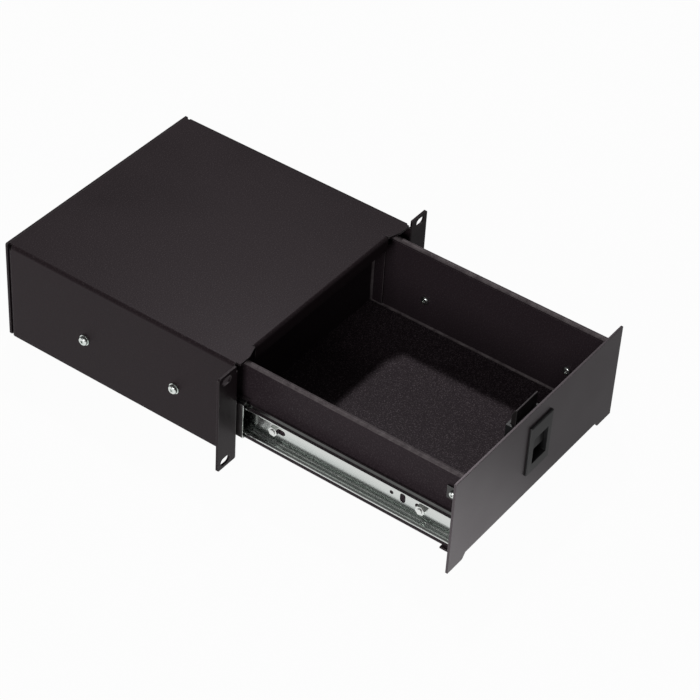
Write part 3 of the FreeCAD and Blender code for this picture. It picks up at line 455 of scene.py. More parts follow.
@dataclass(frozen=True)
class PlatedSteel(Finish):
    """Bright plate over rolled or drawn steel."""

    tint: Colour = (0.66, 0.72, 0.69)
    # edge colour: worn plating and a painted highlight
    rim: Colour = (0.95, 0.95, 0.93)
    stretch: Triple = (1.0, 0.02, 1.0)
    streak_scale: float = 400.0
    streak_depth: float = 0.004 * MM
    roughness_play: tuple[float, float] = (-0.04, 0.06)
    wear_and_highlight: float = 0.7

    def paint(self, graph: ShaderGraph, shader: bpy.types.Node) -> None:
        """Feed the shader with the plate: its streaks and its clouds."""
        streaks = graph.group("streaks", {"Stretch": self.stretch, "Scale": self.streak_scale})
        cloud = graph.spread(streaks.outputs["Tone"], 0.0, 1.0)
        base = graph.mixed(cloud, self.colour, self.tint)
        self.surface(graph, shader, base, streaks.outputs["Height"],
                     (streaks.outputs["Height"], self.streak_depth))
        graph.feed(shader.inputs["Metallic"], 1.0)


@dataclass(frozen=True)
class MouldedPlastic(Finish):
    """Spark-eroded moulded plastic with a slight painted sheen on its rounded edges."""

    rim: Colour = (0.10, 0.10, 0.10)
    grain_size: float = 0.3 * MM
    grain_depth: float = 0.015 * MM
    roughness_play: tuple[float, float] = (-0.06, 0.06)
    wear_and_highlight: float = 0.5
    unevenness: float = 1.5

    def paint(self, graph: ShaderGraph, shader: bpy.types.Node) -> None:
        """Feed the shader with the plastic and its grain."""
        grain = graph.group("grain", {"Grain Size": self.grain_size})
        base = graph.mixed(grain.outputs["Tone"], self.colour, self.uneven_colour())
        self.surface(graph, shader, base, grain.outputs["Tone"],
                     (grain.outputs["Height"], self.grain_depth))


FINISHES = {
    # the lighter rim colours paint highlights along edges and hems as well as worn edges; the
    # bright specks paint glints as well as grain
    Slot.CASE_PAINT: PowderCoat("case_powder_coat", (0.022, 0.0155, 0.0178), 0.38,
                                speck_and_glint=(0.12, 0.096, 0.104), grain_size=0.9 * MM,
                                grain_depth=0.07 * MM, specular=0.1),
    Slot.DRAWER_PAINT: PowderCoat("drawer_powder_coat", (0.0300, 0.0216, 0.0258), 0.38,
                                  speck_and_glint=(0.29, 0.240, 0.262), speck_share=0.5,
                                  grain_size=0.9 * MM, grain_depth=0.15 * MM, specular=0.06,
                                  rim=(0.25, 0.22, 0.225)),
    Slot.PANEL_PAINT: PowderCoat("panel_powder_coat", (0.030, 0.022, 0.0252), 0.34,
                                 grain_depth=0.02 * MM, specular=0.75),
    Slot.SLIDE_ZINC: PlatedSteel("slide_zinc_plate", (0.68, 0.69, 0.67), 0.17,
                                 tint=(0.56, 0.60, 0.58), streak_depth=0.001 * MM),
    Slot.SCREW_ZINC: PlatedSteel("screw_zinc_plate", (0.80, 0.80, 0.78), 0.24, stretch=EVEN,
                                 streak_scale=1500.0),
    Slot.BRACKET_ZINC: PlatedSteel("bracket_zinc_plate", (0.09, 0.09, 0.088), 0.4,
                                   tint=(0.06, 0.06, 0.06), rim=(0.3, 0.3, 0.3),
                                   stretch=(1.0, 1.0, 0.05)),
    Slot.CAGE_STEEL: PlatedSteel("cage_steel", (0.62, 0.61, 0.58), 0.3),
    Slot.BALL_STEEL: PlatedSteel("ball_steel", (0.85, 0.85, 0.86), 0.13, stretch=EVEN,
                                 streak_scale=600.0, streak_depth=0.001 * MM),
    Slot.PIN_STEEL: PlatedSteel("pin_steel", (0.7, 0.7, 0.7), 0.25, stretch=(0.05, 1.0, 1.0)),
    Slot.SPRING_STEEL: PlatedSteel("spring_steel", (0.55, 0.56, 0.58), 0.3, stretch=EVEN,
                                   streak_scale=2000.0),
    Slot.LATCH_PLASTIC: MouldedPlastic("latch_plastic", (0.020, 0.020, 0.021), 0.42),
    Slot.BOLT_STEEL: PowderCoat("bolt_black_coat", (0.020, 0.018, 0.018), 0.35,
                                grain_depth=0.01 * MM),
    Slot.BUMPER_PLASTIC: MouldedPlastic("bumper_plastic", (0.022, 0.022, 0.024), 0.5),
}


class Wardrobe:
    """The built materials, one for each slot."""

    def __init__(self) -> None:
        """Build every finish once."""
        self.materials = {slot: finish.material() for slot, finish in FINISHES.items()}

    def dress(self, piece: Piece, slot: Slot) -> None:
        """Put a slot's material on a piece as its only one.

        Args:
            piece: The piece.
            slot: The slot.
        """
        piece.data.materials.clear()
        piece.data.materials.append(self.materials[slot])


# Meshes

@dataclass(frozen=True)
class Copy:
    """How a CAD node is carried over as an eased copy."""

    node: str
    slot: Slot
    ease: float = 0.2 * MM
    trim_at: Triple | None = None
    trim_side: Triple = (0.0, 0.0, 1.0)


def place(mesh: bpy.types.Mesh, name: str) -> Piece:
    """Put a mesh into the scene.

    Args:
        mesh: The mesh, with its place in its points.
        name: The new object's name.

    Returns:
        The new object, at the origin.
    """
    piece = bpy.data.objects.new(name, mesh)
    bpy.context.scene.collection.objects.link(piece)
    return piece


def merged(pieces: list[Piece]) -> Piece:
    """Join several pieces into the first one.

    Args:
        pieces: The pieces; all but the first are deleted.

    Returns:
        The first piece, with the faces of all.
    """
    work = bmesh.new()
    for piece in pieces:
        work.from_mesh(piece.data)
    work.to_mesh(pieces[0].data)
    work.free()
    for piece in pieces[1:]:
        bpy.data.objects.remove(piece)
    return pieces[0]


def body_of(node: str) -> str:
    """Return the name of the body that carries a CAD node."""
    bodies = frame["record"]["behaviour"]["bodies"]
    return next(body for body, nodes in bodies.items() if node in nodes)


def trim(work: bmesh.types.BMesh, point: Triple, outward: Triple) -> None:
    """Cut everything off beyond a plane and close the cut.

    Args:
        work: The closed mesh to trim.
        point: A point of the plane.
        outward: The side of the plane that is cut off.
    """
    everything = [*work.verts, *work.edges, *work.faces]
    cut = bmesh.ops.bisect_plane(work, geom=everything, dist=WELD, plane_co=point, plane_no=outward,
                                 clear_outer=True)
    rims = [item for item in cut["geom_cut"] if isinstance(item, bmesh.types.BMEdge)]
    bmesh.ops.triangle_fill(work, use_beauty=True, edges=rims)
    bmesh.ops.recalc_face_normals(work, faces=work.faces)


def on_outer_bend(face: bmesh.types.BMFace) -> bool:
    """Say whether a face is one of the narrow strips of a tight bend's outer side.

    Args:
        face: A face of a welded copy.

    Returns:
        True for a strip that is narrow and bends outwards to its neighbour.
    """
    width = face.calc_area() / max(edge.calc_length() for edge in face.edges)
    return width < TIGHT_BEND and any(edge.calc_face_angle_signed(0.0) > SLIGHT_ANGLE
                                      for edge in face.edges)


def eased_copy(copy: Copy) -> Piece:
    """Copy a CAD node, weld its triangles, trim it and ease its sharp edges.

    Args:
        copy: The node with its ease and, where it has one, the plane that trims it.

    Returns:
        The new piece, with a "rim" attribute that is 1 on eased edges and lower on tight outer
        bends, where the finishes paint a lighter line as worn edge and painted highlight.
    """
    name = copy.node + "_eased"
    work = bmesh.new()
    work.from_mesh(frame["nodes"][copy.node].data)
    bmesh.ops.remove_doubles(work, verts=work.verts, dist=WELD)
    if copy.trim_at is not None:
        trim(work, copy.trim_at, copy.trim_side)
    bmesh.ops.dissolve_limit(work, angle_limit=FLAT_ANGLE, verts=work.verts,
                             edges=work.edges, use_dissolve_boundaries=False)
    bmesh.ops.dissolve_degenerate(work, edges=work.edges, dist=SLIVER)
    sharp = [edge for edge in work.edges
             if edge.is_manifold and edge.calc_face_angle(0.0) > SHARP_ANGLE]
    eased = bmesh.ops.bevel(work, geom=sharp, offset=copy.ease, segments=2, profile=0.5,
                            affect="EDGES", clamp_overlap=False)
    layer = work.loops.layers.float_color.new("rim")
    rims = set(eased["faces"])
    for face in work.faces:
        face.smooth = True
        # rim share: the finishes paint a lighter line here, worn edge and painted highlight along
        # edges and outer bends
        rim_share = 1.0 if face in rims else BEND_HIGHLIGHT if on_outer_bend(face) else 0.0
        for loop in face.loops:
            loop[layer] = (rim_share, rim_share, rim_share, 1.0)
    mesh = bpy.data.meshes.new(name)
    work.to_mesh(mesh)
    work.free()
    mesh.set_sharp_from_angle(angle=SMOOTH_ANGLE)
    piece = place(mesh, name)
    even = piece.modifiers.new("Even Shading", "WEIGHTED_NORMAL")
    even.keep_sharp = True
    even.weight = 100
    return piece


def solid_boxes(node: str) -> list[tuple[Vector, Vector]]:
    """Find the box of each separate solid of a CAD node.

    Args:
        node: The CAD node.

    Returns:
        The lowest and highest corner of every solid, in a steady order.
    """
    work = bmesh.new()
    work.from_mesh(frame["nodes"][node].data)
    bmesh.ops.remove_doubles(work, verts=work.verts, dist=WELD)
    left = set(work.verts)
    boxes = []
    for start in work.verts:
        if start not in left:
            continue
        left.discard(start)
        island = [start]
        for vert in island:
            for edge in vert.link_edges:
                other = edge.other_vert(vert)
                if other in left:
                    left.discard(other)
                    island.append(other)
        boxes.append(tuple(Vector([end(vert.co[axis] for vert in island) for axis in range(3)])
                           for end in (min, max)))
    work.free()
    return sorted(boxes, key=lambda box: tuple(round(part, BOX_DIGITS) for part in box[0]))


# Repeated pieces

class Facing(Enum):
    """Which way the top of a repeated piece looks."""

    OUTWARD = "outward"
    INWARD = "inward"
    REAR = "rear"

    def direction(self, centre: Vector) -> Vector:
        """Find which way a piece looks.

        Args:
            centre: The middle of the piece.

        Returns:
            The unit vector.
        """
        side = 1.0 if centre.x > 0 else -1.0
        return {Facing.OUTWARD: Vector((side, 0, 0)), Facing.INWARD: Vector((-side, 0, 0)),
                Facing.REAR: Vector((0, 1, 0))}[self]


class RepeatTree:
    """A geometry tree that sets one small solid on every point of a mesh.

    A point's "facing" attribute gives the way the solid's top looks.
    """

    label = "Repeat"

    def __init__(self, sizes: dict[str, float], material: bpy.types.Material, seed: int) -> None:
        """Build the tree.

        Args:
            sizes: Values of the named size inputs, in metres.
            material: The finish of the solids.
            seed: Seed of each solid's turn about its own axis.
        """
        self.tree = bpy.data.node_groups.new(self.label, "GeometryNodeTree")
        self.graph = Graph(self.tree)
        self.values: dict[str, object] = {}
        kind = "NodeSocketGeometry"
        self.tree.interface.new_socket("Geometry", in_out="INPUT", socket_type=kind)
        for name, value in sizes.items():
            self.give(name, "NodeSocketFloat", value)
        self.give("Material", "NodeSocketMaterial", material)
        self.give("Seed", "NodeSocketInt", seed)
        self.tree.interface.new_socket("Geometry", in_out="OUTPUT", socket_type=kind)
        self.given = self.graph.add("NodeGroupInput").outputs
        self.finish(self.solid())

    def give(self, name: str, kind: str, value: object) -> None:
        """Add a named input and remember the value that its modifier gets."""
        socket = self.tree.interface.new_socket(name, in_out="INPUT", socket_type=kind)
        self.values[socket.identifier] = value

    def solid(self) -> Socket:
        """Return the geometry of one solid, with its seat at the origin and its top along Z."""
        raise NotImplementedError

    def finish(self, solid: Socket) -> None:
        """Set the solid on the points, turn each one, realize them and dress them.

        Args:
            solid: The geometry of one solid.
        """
        graph = self.graph
        facing = graph.add("GeometryNodeInputNamedAttribute", {"Name": "facing"},
                           data_type="FLOAT_VECTOR").outputs["Attribute"]
        upright = graph.add("FunctionNodeAlignRotationToVector", {"Vector": facing}, axis="Z")
        turn = graph.add("FunctionNodeRandomValue", {"Seed": self.given["Seed"]}, data_type="FLOAT")
        low, high = self.plain(turn.inputs)[:2]
        graph.feed(low, 0.0)
        graph.feed(high, math.tau)
        spin = graph.add("FunctionNodeAxisAngleToRotation", {
            "Axis": (0.0, 0.0, 1.0), "Angle": self.plain(turn.outputs)[0]})
        rotation = graph.add("FunctionNodeRotateRotation",
                             {"Rotation": upright.outputs[0], "Rotate By": spin.outputs[0]},
                             rotation_space="LOCAL")
        placed = graph.add("GeometryNodeInstanceOnPoints",
                           {"Points": self.given["Geometry"], "Instance": solid,
                            "Rotation": rotation.outputs[0]})
        real = graph.add("GeometryNodeRealizeInstances", {"Geometry": placed.outputs[0]})
        dressed = graph.add("GeometryNodeSetMaterial", {"Geometry": real.outputs[0],
                                                        "Material": self.given["Material"]})
        graph.add("NodeGroupOutput", {"Geometry": dressed.outputs[0]})

    @staticmethod
    def plain(sockets: bpy.types.bpy_prop_collection) -> list[Socket]:
        """Return the sockets that carry a number and are in use."""
        return [socket for socket in sockets if socket.type == "VALUE" and socket.enabled]

    def raised(self, geometry: Socket, height: object) -> Socket:
        """Move a geometry up and return it."""
        up = self.graph.add("ShaderNodeCombineXYZ", {"Z": height}).outputs[0]
        return self.graph.add("GeometryNodeTransform", {"Geometry": geometry,
                                                        "Translation": up}).outputs[0]

    def cylinder(self, radius: object, depth: object, sides: int, low: object) -> Socket:
        """Make a closed cylinder along Z.

        Args:
            radius: Its radius.
            depth: Its length.
            sides: Its number of sides.
            low: Height of its lower end.

        Returns:
            The cylinder's geometry.
        """
        graph = self.graph
        made = graph.add("GeometryNodeMeshCylinder", {"Vertices": sides, "Radius": radius,
                                                      "Depth": depth})
        middle = graph.math("ADD", graph.math("MULTIPLY", depth, 0.5), low)
        return self.raised(made.outputs["Mesh"], middle)

    def carve(self, operation: str, first: Socket, others: list[Socket]) -> Socket:
        """Cut, join or intersect closed solids.

        Args:
            operation: DIFFERENCE, UNION or INTERSECT.
            first: The solid that is cut, or the first of the solids.
            others: The cutters, or the other solids.

        Returns:
            The result's geometry.
        """
        node = self.graph.add("GeometryNodeMeshBoolean", operation=operation, solver="EXACT")
        meshes = node.inputs["Mesh 2"]
        if operation == "DIFFERENCE":
            self.graph.feed(node.inputs["Mesh 1"], first)
        else:
            self.graph.feed(meshes, first)
        for other in others:
            self.graph.feed(meshes, other)
        return node.outputs["Mesh"]

    def bored(self, body: Socket, sides: int) -> Socket:
        """Drill the hole of a nut or washer.

        Args:
            body: The solid, with inputs for its height and the radius of its hole.
            sides: Number of sides of the hole.

        Returns:
            The drilled solid.
        """
        height = self.given["Height"]
        depth = self.graph.math("MULTIPLY", height, CUTTER_HEIGHT)
        hole = self.cylinder(self.given["Hole Radius"], depth, sides,
                             self.graph.math("MULTIPLY", height, -1.0))
        return self.carve("DIFFERENCE", body, [hole])

    def apply(self, points: list[tuple[Vector, ...]], name: str) -> Piece:
        """Run the tree on seats and keep the result as a plain mesh.

        Args:
            points: Seat and facing of each solid, first of what describes it.
            name: The new piece's name.

        Returns:
            The new piece, with no modifier.
        """
        seats = bpy.data.meshes.new(name + "_seats")
        seats.from_pydata([point[0] for point in points], [], [])
        attribute = seats.attributes.new("facing", "FLOAT_VECTOR", "POINT")
        for entry, point in zip(attribute.data, points):
            entry.vector = point[1]
        carrier = place(seats, name + "_carrier")
        modifier = carrier.modifiers.new(self.label, "NODES")
        modifier.node_group = self.tree
        for identifier, value in self.values.items():
            modifier[identifier] = value
        graph = bpy.context.evaluated_depsgraph_get()
        mesh = bpy.data.meshes.new_from_object(carrier.evaluated_get(graph))
        carrier.modifiers.clear()
        bpy.data.objects.remove(carrier)
        mesh.name = name
        for polygon in mesh.polygons:
            polygon.use_smooth = True
        mesh.set_sharp_from_angle(angle=FACET_ANGLE)
        return place(mesh, name)


class PanScrewTree(RepeatTree):
    """Pan-head screw with a cross recess."""

    label = "Pan Screw Set"

    def solid(self) -> Socket:
        """Return one screw."""
        graph = self.graph
        given = self.given
        ball = graph.add("GeometryNodeMeshUVSphere", {"Segments": 32, "Rings": 20, "Radius": 1.0})
        position = graph.add("GeometryNodeInputPosition").outputs[0]
        parts = graph.add("ShaderNodeSeparateXYZ", {0: position})
        flat = graph.vector("MULTIPLY", position, (1.0, 1.0, 0.0))
        length = graph.add("ShaderNodeVectorMath", {0: flat}, operation="LENGTH").outputs["Value"]
        safe = graph.math("MAXIMUM", length, LEAST_LENGTH)
        widen = graph.math("DIVIDE", graph.math("POWER", safe, DOME_SPREAD), safe)
        spread = graph.add("ShaderNodeVectorMath", {0: flat, "Scale": graph.math(
            "MULTIPLY", widen, given["Head Radius"])}, operation="SCALE").outputs["Vector"]
        rise = graph.math("MULTIPLY", graph.math("POWER", graph.math(
            "MAXIMUM", parts.outputs["Z"], 0.0), DOME_RISE), given["Head Height"])
        lift = graph.add("ShaderNodeCombineXYZ", {"Z": rise}).outputs[0]
        head = graph.add("GeometryNodeSetPosition", {"Geometry": ball.outputs["Mesh"],
                                                     "Position": graph.vector("ADD", spread, lift)})
        shank = self.cylinder(given["Shank Radius"], given["Shank Length"], 24,
                              graph.math("MULTIPLY", given["Shank Length"], -1.0))
        whole = graph.add("GeometryNodeJoinGeometry", {0: self.recessed(head.outputs[0])})
        graph.feed(whole.inputs[0], shank)
        return whole.outputs[0]

    def recessed(self, head: Socket) -> Socket:
        """Cut the cross recess into the top of a head.

        Args:
            head: The closed head.

        Returns:
            The recessed head.
        """
        graph = self.graph
        given = self.given
        depth = given["Recess Depth"]
        reach = graph.math("MULTIPLY", given["Recess Width"], RECESS_REACH)
        arms = []
        for size in ((reach, given["Recess Width"]), (given["Recess Width"], reach)):
            box = graph.add("GeometryNodeMeshCube", {"Size": graph.add(
                "ShaderNodeCombineXYZ", {"X": size[0], "Y": size[1], "Z": graph.math(
                    "MULTIPLY", depth, 2.0)}).outputs[0]})
            arms.append(self.raised(box.outputs["Mesh"], given["Head Height"]))
        cross = self.carve("UNION", arms[0], arms[1:])
        return self.carve("DIFFERENCE", head, [cross])


class NutTree(RepeatTree):
    """Hexagon nut with its corners chamfered on both faces."""

    label = "Nut Set"

    def solid(self) -> Socket:
        """Return one nut."""
        graph = self.graph
        given = self.given
        corner = graph.math("DIVIDE", given["Across Flats"], math.sqrt(3.0))
        prism = self.cylinder(corner, given["Height"], 6, 0.0)
        ball = graph.add("GeometryNodeMeshUVSphere", {
            "Segments": 36, "Rings": 18, "Radius": graph.math("MULTIPLY", corner, CROWN_RADIUS)})
        crown = self.raised(ball.outputs["Mesh"], graph.math("MULTIPLY", given["Height"], 0.5))
        body = self.carve("INTERSECT", prism, [crown])
        return self.bored(body, 24)


class WasherTree(RepeatTree):
    """Flat washer."""

    label = "Washer Set"

    def solid(self) -> Socket:
        """Return one washer."""
        disc = self.cylinder(self.given["Outer Radius"], self.given["Height"], 40, 0.0)
        return self.bored(disc, 32)


class StudTree(RepeatTree):
    """Welded stud whose thread is a row of fine ridges."""

    label = "Stud Set"

    def solid(self) -> Socket:
        """Return one stud."""
        graph = self.graph
        given = self.given
        bar = graph.add("GeometryNodeMeshCylinder", {
            "Vertices": 24, "Side Segments": 48, "Radius": given["Radius"],
            "Depth": given["Length"]})
        position = graph.add("GeometryNodeInputPosition").outputs[0]
        height = graph.add("ShaderNodeSeparateXYZ", {0: position}).outputs["Z"]
        wave = graph.math("PINGPONG", height, graph.math("MULTIPLY", given["Pitch"], 0.5))
        share = graph.math("DIVIDE", wave, given["Pitch"])
        pull = graph.math("SUBTRACT", 1.0, graph.math("MULTIPLY", share, RIDGE_DEPTH))
        shrink = graph.add("ShaderNodeCombineXYZ", {"X": pull, "Y": pull, "Z": 1.0}).outputs[0]
        threaded = graph.add("GeometryNodeSetPosition", {
            "Geometry": bar.outputs["Mesh"],
            "Position": graph.vector("MULTIPLY", position, shrink)})
        return self.raised(threaded.outputs[0], graph.math("MULTIPLY", given["Length"], 0.5))


class BallTree(RepeatTree):
    """Polished bearing ball."""

    label = "Ball Set"

    def solid(self) -> Socket:
        """Return one ball."""
        return self.graph.add("GeometryNodeMeshUVSphere", {
            "Segments": 24, "Rings": 14, "Radius": self.given["Ball Radius"]}).outputs["Mesh"]


class SpringTree(RepeatTree):
    """Compression spring: round wire wound on a helix."""

    label = "Spring Set"

    def solid(self) -> Socket:
        """Return one spring that stands on its lower turn."""
        graph = self.graph
        given = self.given
        helix = graph.add("GeometryNodeCurveSpiral", {
            "Resolution": 32, "Rotations": given["Turns"], "Start Radius": given["Coil Radius"],
            "End Radius": given["Coil Radius"], "Height": given["Rise"]})
        wire = graph.add("GeometryNodeCurvePrimitiveCircle", {"Resolution": 12,
                                                              "Radius": given["Wire Radius"]})
        wound = graph.add("GeometryNodeCurveToMesh", {
            "Curve": helix.outputs[0], "Profile Curve": wire.outputs["Curve"], "Fill Caps": True})
        return self.raised(wound.outputs[0], given["Wire Radius"])


# Sub-assemblies

@dataclass
class SubAssembly:
    """Common steps of every sub-assembly: carry nodes over, and set fasteners on their seats."""

    wardrobe: Wardrobe

    def build(self) -> None:
        """Build and dress every piece of the sub-assembly."""
        raise NotImplementedError

    def settle(self, piece: Piece, node: str, slot: Slot) -> None:
        """Dress a piece, let it ride on its node's body and take the node's place.

        Args:
            piece: The finished piece.
            node: The CAD node that it stands for.
            slot: The material slot of its finish.
        """
        self.wardrobe.dress(piece, slot)
        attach(piece, body_of(node))
        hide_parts(node)
        LOG.info("%s: %d faces for %s", piece.name, len(piece.data.polygons), node)

    def carry(self, copies: list[Copy]) -> None:
        """Make the eased copies."""
        for copy in copies:
            self.settle(eased_copy(copy), copy.node, copy.slot)

    def screws(self, node: str, thread: float, facing: Facing, seed: int) -> None:
        """Replace a node's screws by detailed ones.

        Args:
            node: The CAD node.
            thread: Thread diameter in metres.
            facing: The way the heads look.
            seed: Seed of the turns of the recesses.
        """
        height = HEAD_HEIGHT * thread
        points = []
        for low, high in solid_boxes(node):
            centre = (low + high) / 2
            axis = facing.direction(centre)
            half = abs((high - low).dot(axis)) / 2
            points.append((centre + axis * (half - height), axis))
            length = 2 * half - height
        sizes = {"Head Radius": HEAD_RADIUS * thread, "Head Height": height,
                 "Shank Radius": thread / 2, "Shank Length": length,
                 "Recess Width": RECESS_WIDTH * thread, "Recess Depth": RECESS_DEPTH * thread}
        tree = PanScrewTree(sizes, self.wardrobe.materials[Slot.SCREW_ZINC], seed)
        self.settle(tree.apply(points, node + "_pan_heads"), node, Slot.SCREW_ZINC)

    def seats(self, node: str, facing: Facing) -> Iterator[Seat]:
        """Find where a node's small solids stand.

        Args:
            node: The CAD node.
            facing: The way their tops look.

        Yields:
            Seat, direction and size of each solid.
        """
        for low, high in solid_boxes(node):
            centre = (low + high) / 2
            axis = facing.direction(centre)
            size = high - low
            yield centre - axis * (abs(size.dot(axis)) / 2), axis, size

    def seats_by(self, node: str, facing: Facing, measure: Callable[[Vector, Vector], float],
                 digits: int) -> ItemsView[float, list[Seat]]:
        """Group the seats of a node's solids by a measure.

        Args:
            node: The CAD node.
            facing: The way their tops look.
            measure: Gives the measure in metres from a solid's direction and size.
            digits: Decimal places that the measure is rounded to.

        Returns:
            Each measure with its seats.
        """
        groups: dict[float, list[Seat]] = {}
        for seat, axis, size in self.seats(node, facing):
            groups.setdefault(round(measure(axis, size), digits), []).append((seat, axis, size))
        return groups.items()


@dataclass
class Case(SubAssembly):
    """The case that stands still in the rack."""

    thread: float = 4.0 * MM
    rear_thread: float = 3.0 * MM
    washer_hole: float = 2.2 * MM
    base_set_back: float = 16.0 * MM

    def build(self) -> None:
        """Dress the sheet parts and set the screws and washers."""
        self.carry([Copy("case_shell", Slot.CASE_PAINT),
                    Copy("base_plate", Slot.CASE_PAINT, trim_at=(0.0, self.base_set_back, 0.0),
                         trim_side=(0.0, -1.0, 0.0)),
                    Copy("rear_panel", Slot.CASE_PAINT)])
        self.screws("slide_outer_screws", self.thread, Facing.OUTWARD, seed=3)
        self.screws("rear_screws", self.rear_thread, Facing.REAR, seed=5)
        self.washers()

    def washers(self) -> None:
        """Set the washers under the case screws."""
        found = list(self.seats("slide_outer_washers", Facing.OUTWARD))
        size = found[0][2]
        tree = WasherTree({"Outer Radius": size.z / 2, "Hole Radius": self.washer_hole,
                           "Height": size.x}, self.wardrobe.materials[Slot.SCREW_ZINC], seed=7)
        piece = tree.apply(found, "case_washers")
        self.settle(piece, "slide_outer_washers", Slot.SCREW_ZINC)


@dataclass
class Slides(SubAssembly):
    """The two ball-bearing slides."""

    sheet_ease: float = 0.12 * MM
    cage_ease: float = 0.06 * MM

    def build(self) -> None:
        """Dress the rolled members, cages, bumpers and balls."""
        copies = []
        for side in ("left", "right"):
            copies += [Copy("slide_outer_" + side, Slot.SLIDE_ZINC, self.sheet_ease),
                       Copy("slide_runner_" + side, Slot.SLIDE_ZINC, self.sheet_ease),
                       Copy("ball_cage_" + side, Slot.CAGE_STEEL, self.cage_ease),
                       Copy("slide_bumper_" + side, Slot.BUMPER_PLASTIC)]
            self.balls("slide_balls_" + side)
        self.carry(copies)

    def balls(self, node: str) -> None:
        """Set the polished balls of one cage.

        Args:
            node: The CAD node of the balls.
        """
        boxes = solid_boxes(node)
        radius = max(high[axis] - low[axis] for low, high in boxes for axis in range(3)) / 2
        tree = BallTree({"Ball Radius": radius}, self.wardrobe.materials[Slot.BALL_STEEL], seed=11)
        points = [((low + high) / 2, Vector((0, 0, 1))) for low, high in boxes]
        self.settle(tree.apply(points, node + "_polished"), node, Slot.BALL_STEEL)


@dataclass
class Drawer(SubAssembly):
    """The drawer box with its fasteners."""

    thread: float = 4.0 * MM
    small_thread: float = 3.0 * MM
    pitch: float = 0.7 * MM
    panel_ease: float = 0.25 * MM

    def build(self) -> None:
        """Dress the sheet parts and set the fasteners."""
        self.carry([Copy("drawer_tray", Slot.DRAWER_PAINT), Copy("drawer_back", Slot.DRAWER_PAINT),
                    Copy("front_panel", Slot.PANEL_PAINT, self.panel_ease),
                    Copy("front_angle", Slot.DRAWER_PAINT),
                    Copy("side_bracket_left", Slot.BRACKET_ZINC),
                    Copy("side_bracket_right", Slot.BRACKET_ZINC)])
        self.screws("slide_runner_screws", self.thread, Facing.INWARD, seed=13)
        self.screws("bracket_screws", self.small_thread, Facing.OUTWARD, seed=17)
        self.nuts("slide_runner_nuts", Facing.OUTWARD, seed=19)
        self.nuts("bracket_nuts", Facing.INWARD, seed=23)
        self.nuts("panel_nuts", Facing.REAR, seed=29)
        self.studs()

    def nuts(self, node: str, facing: Facing, seed: int) -> None:
        """Replace a node's nuts, one tree for each size, joined to one piece.

        Args:
            node: The CAD node.
            facing: The way the outer faces look.
            seed: Seed of the nuts' turns.
        """
        pieces = []
        groups = self.seats_by(node, facing, lambda axis, size: abs(size.dot(axis)), digits=5)
        for height, found in groups:
            thread = height / NUT_HEIGHT
            sizes = {"Across Flats": NUT_FLATS * thread + NUT_FLATS_EXTRA, "Height": height,
                     "Hole Radius": thread / 2 + NUT_HOLE_EXTRA}
            tree = NutTree(sizes, self.wardrobe.materials[Slot.SCREW_ZINC], seed)
            pieces.append(tree.apply(found, node + "_hexagons"))
        self.settle(merged(pieces), node, Slot.SCREW_ZINC)

    def studs(self) -> None:
        """Set the threaded studs on the back of the panel."""
        node = "panel_studs"
        pieces = []
        groups = self.seats_by(node, Facing.REAR, lambda axis, size: size.z, digits=4)
        for width, found in groups:
            tree = StudTree({"Radius": width / 2, "Length": found[0][2].y, "Pitch": self.pitch},
                            self.wardrobe.materials[Slot.SCREW_ZINC], seed=31)
            pieces.append(tree.apply(found, node + "_threaded"))
        self.settle(merged(pieces), node, Slot.SCREW_ZINC)


@dataclass
class Latch(SubAssembly):
    """The paddle latch in the front panel."""

    housing_trim: float = 8.0 * MM
    ease: float = 0.25 * MM
    pin_ease: float = 0.1 * MM
    spring_wire: float = 0.6 * MM
    spring_turns: float = 3.5

    def build(self) -> None:
        """Dress the moulded and turned pieces."""
        self.carry([Copy("latch_bezel", Slot.LATCH_PLASTIC, self.ease),
                    Copy("latch_housing", Slot.LATCH_PLASTIC, self.ease,
                         trim_at=(0.0, 0.0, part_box("latch_housing")[1][2] - self.housing_trim)),
                    Copy("latch_paddle", Slot.LATCH_PLASTIC),
                    Copy("latch_bolt", Slot.BOLT_STEEL, self.ease),
                    Copy("latch_pin", Slot.PIN_STEEL, self.pin_ease)])
        self.spring()

    def spring(self) -> None:
        """Wind the spring that lifts the bolt, at the height of its CAD node."""
        low, high = (Vector(corner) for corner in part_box("latch_spring"))
        height = high.z - low.z
        sizes = {"Coil Radius": (high.x - low.x - self.spring_wire) / 2,
                 "Rise": height - self.spring_wire, "Wire Radius": self.spring_wire / 2,
                 "Turns": self.spring_turns}
        tree = SpringTree(sizes, self.wardrobe.materials[Slot.SPRING_STEEL], seed=37)
        seat = Vector(((low.x + high.x) / 2, (low.y + high.y) / 2, low.z))
        coil = tree.apply([(seat, Vector((0, 0, 1)))], "latch_spring_wire")
        self.settle(coil, "latch_spring", Slot.SPRING_STEEL)
        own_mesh(coil)


# Studio

@dataclass(frozen=True)
class Lamp:
    """A square soft light that points at the middle of the object."""

    name: str
    direction: Triple
    distance: float
    size: float
    watts: float

    def build(self) -> None:
        """Hang the lamp."""
        light = bpy.data.lights.new(self.name, "AREA")
        light.energy = self.watts
        light.size = self.size
        lamp = bpy.data.objects.new(self.name, light)
        bpy.context.scene.collection.objects.link(lamp)
        away = Vector(self.direction).normalized()
        lamp.location = away * self.distance
        lamp.rotation_euler = (-away).to_track_quat("-Z", "Y").to_euler()


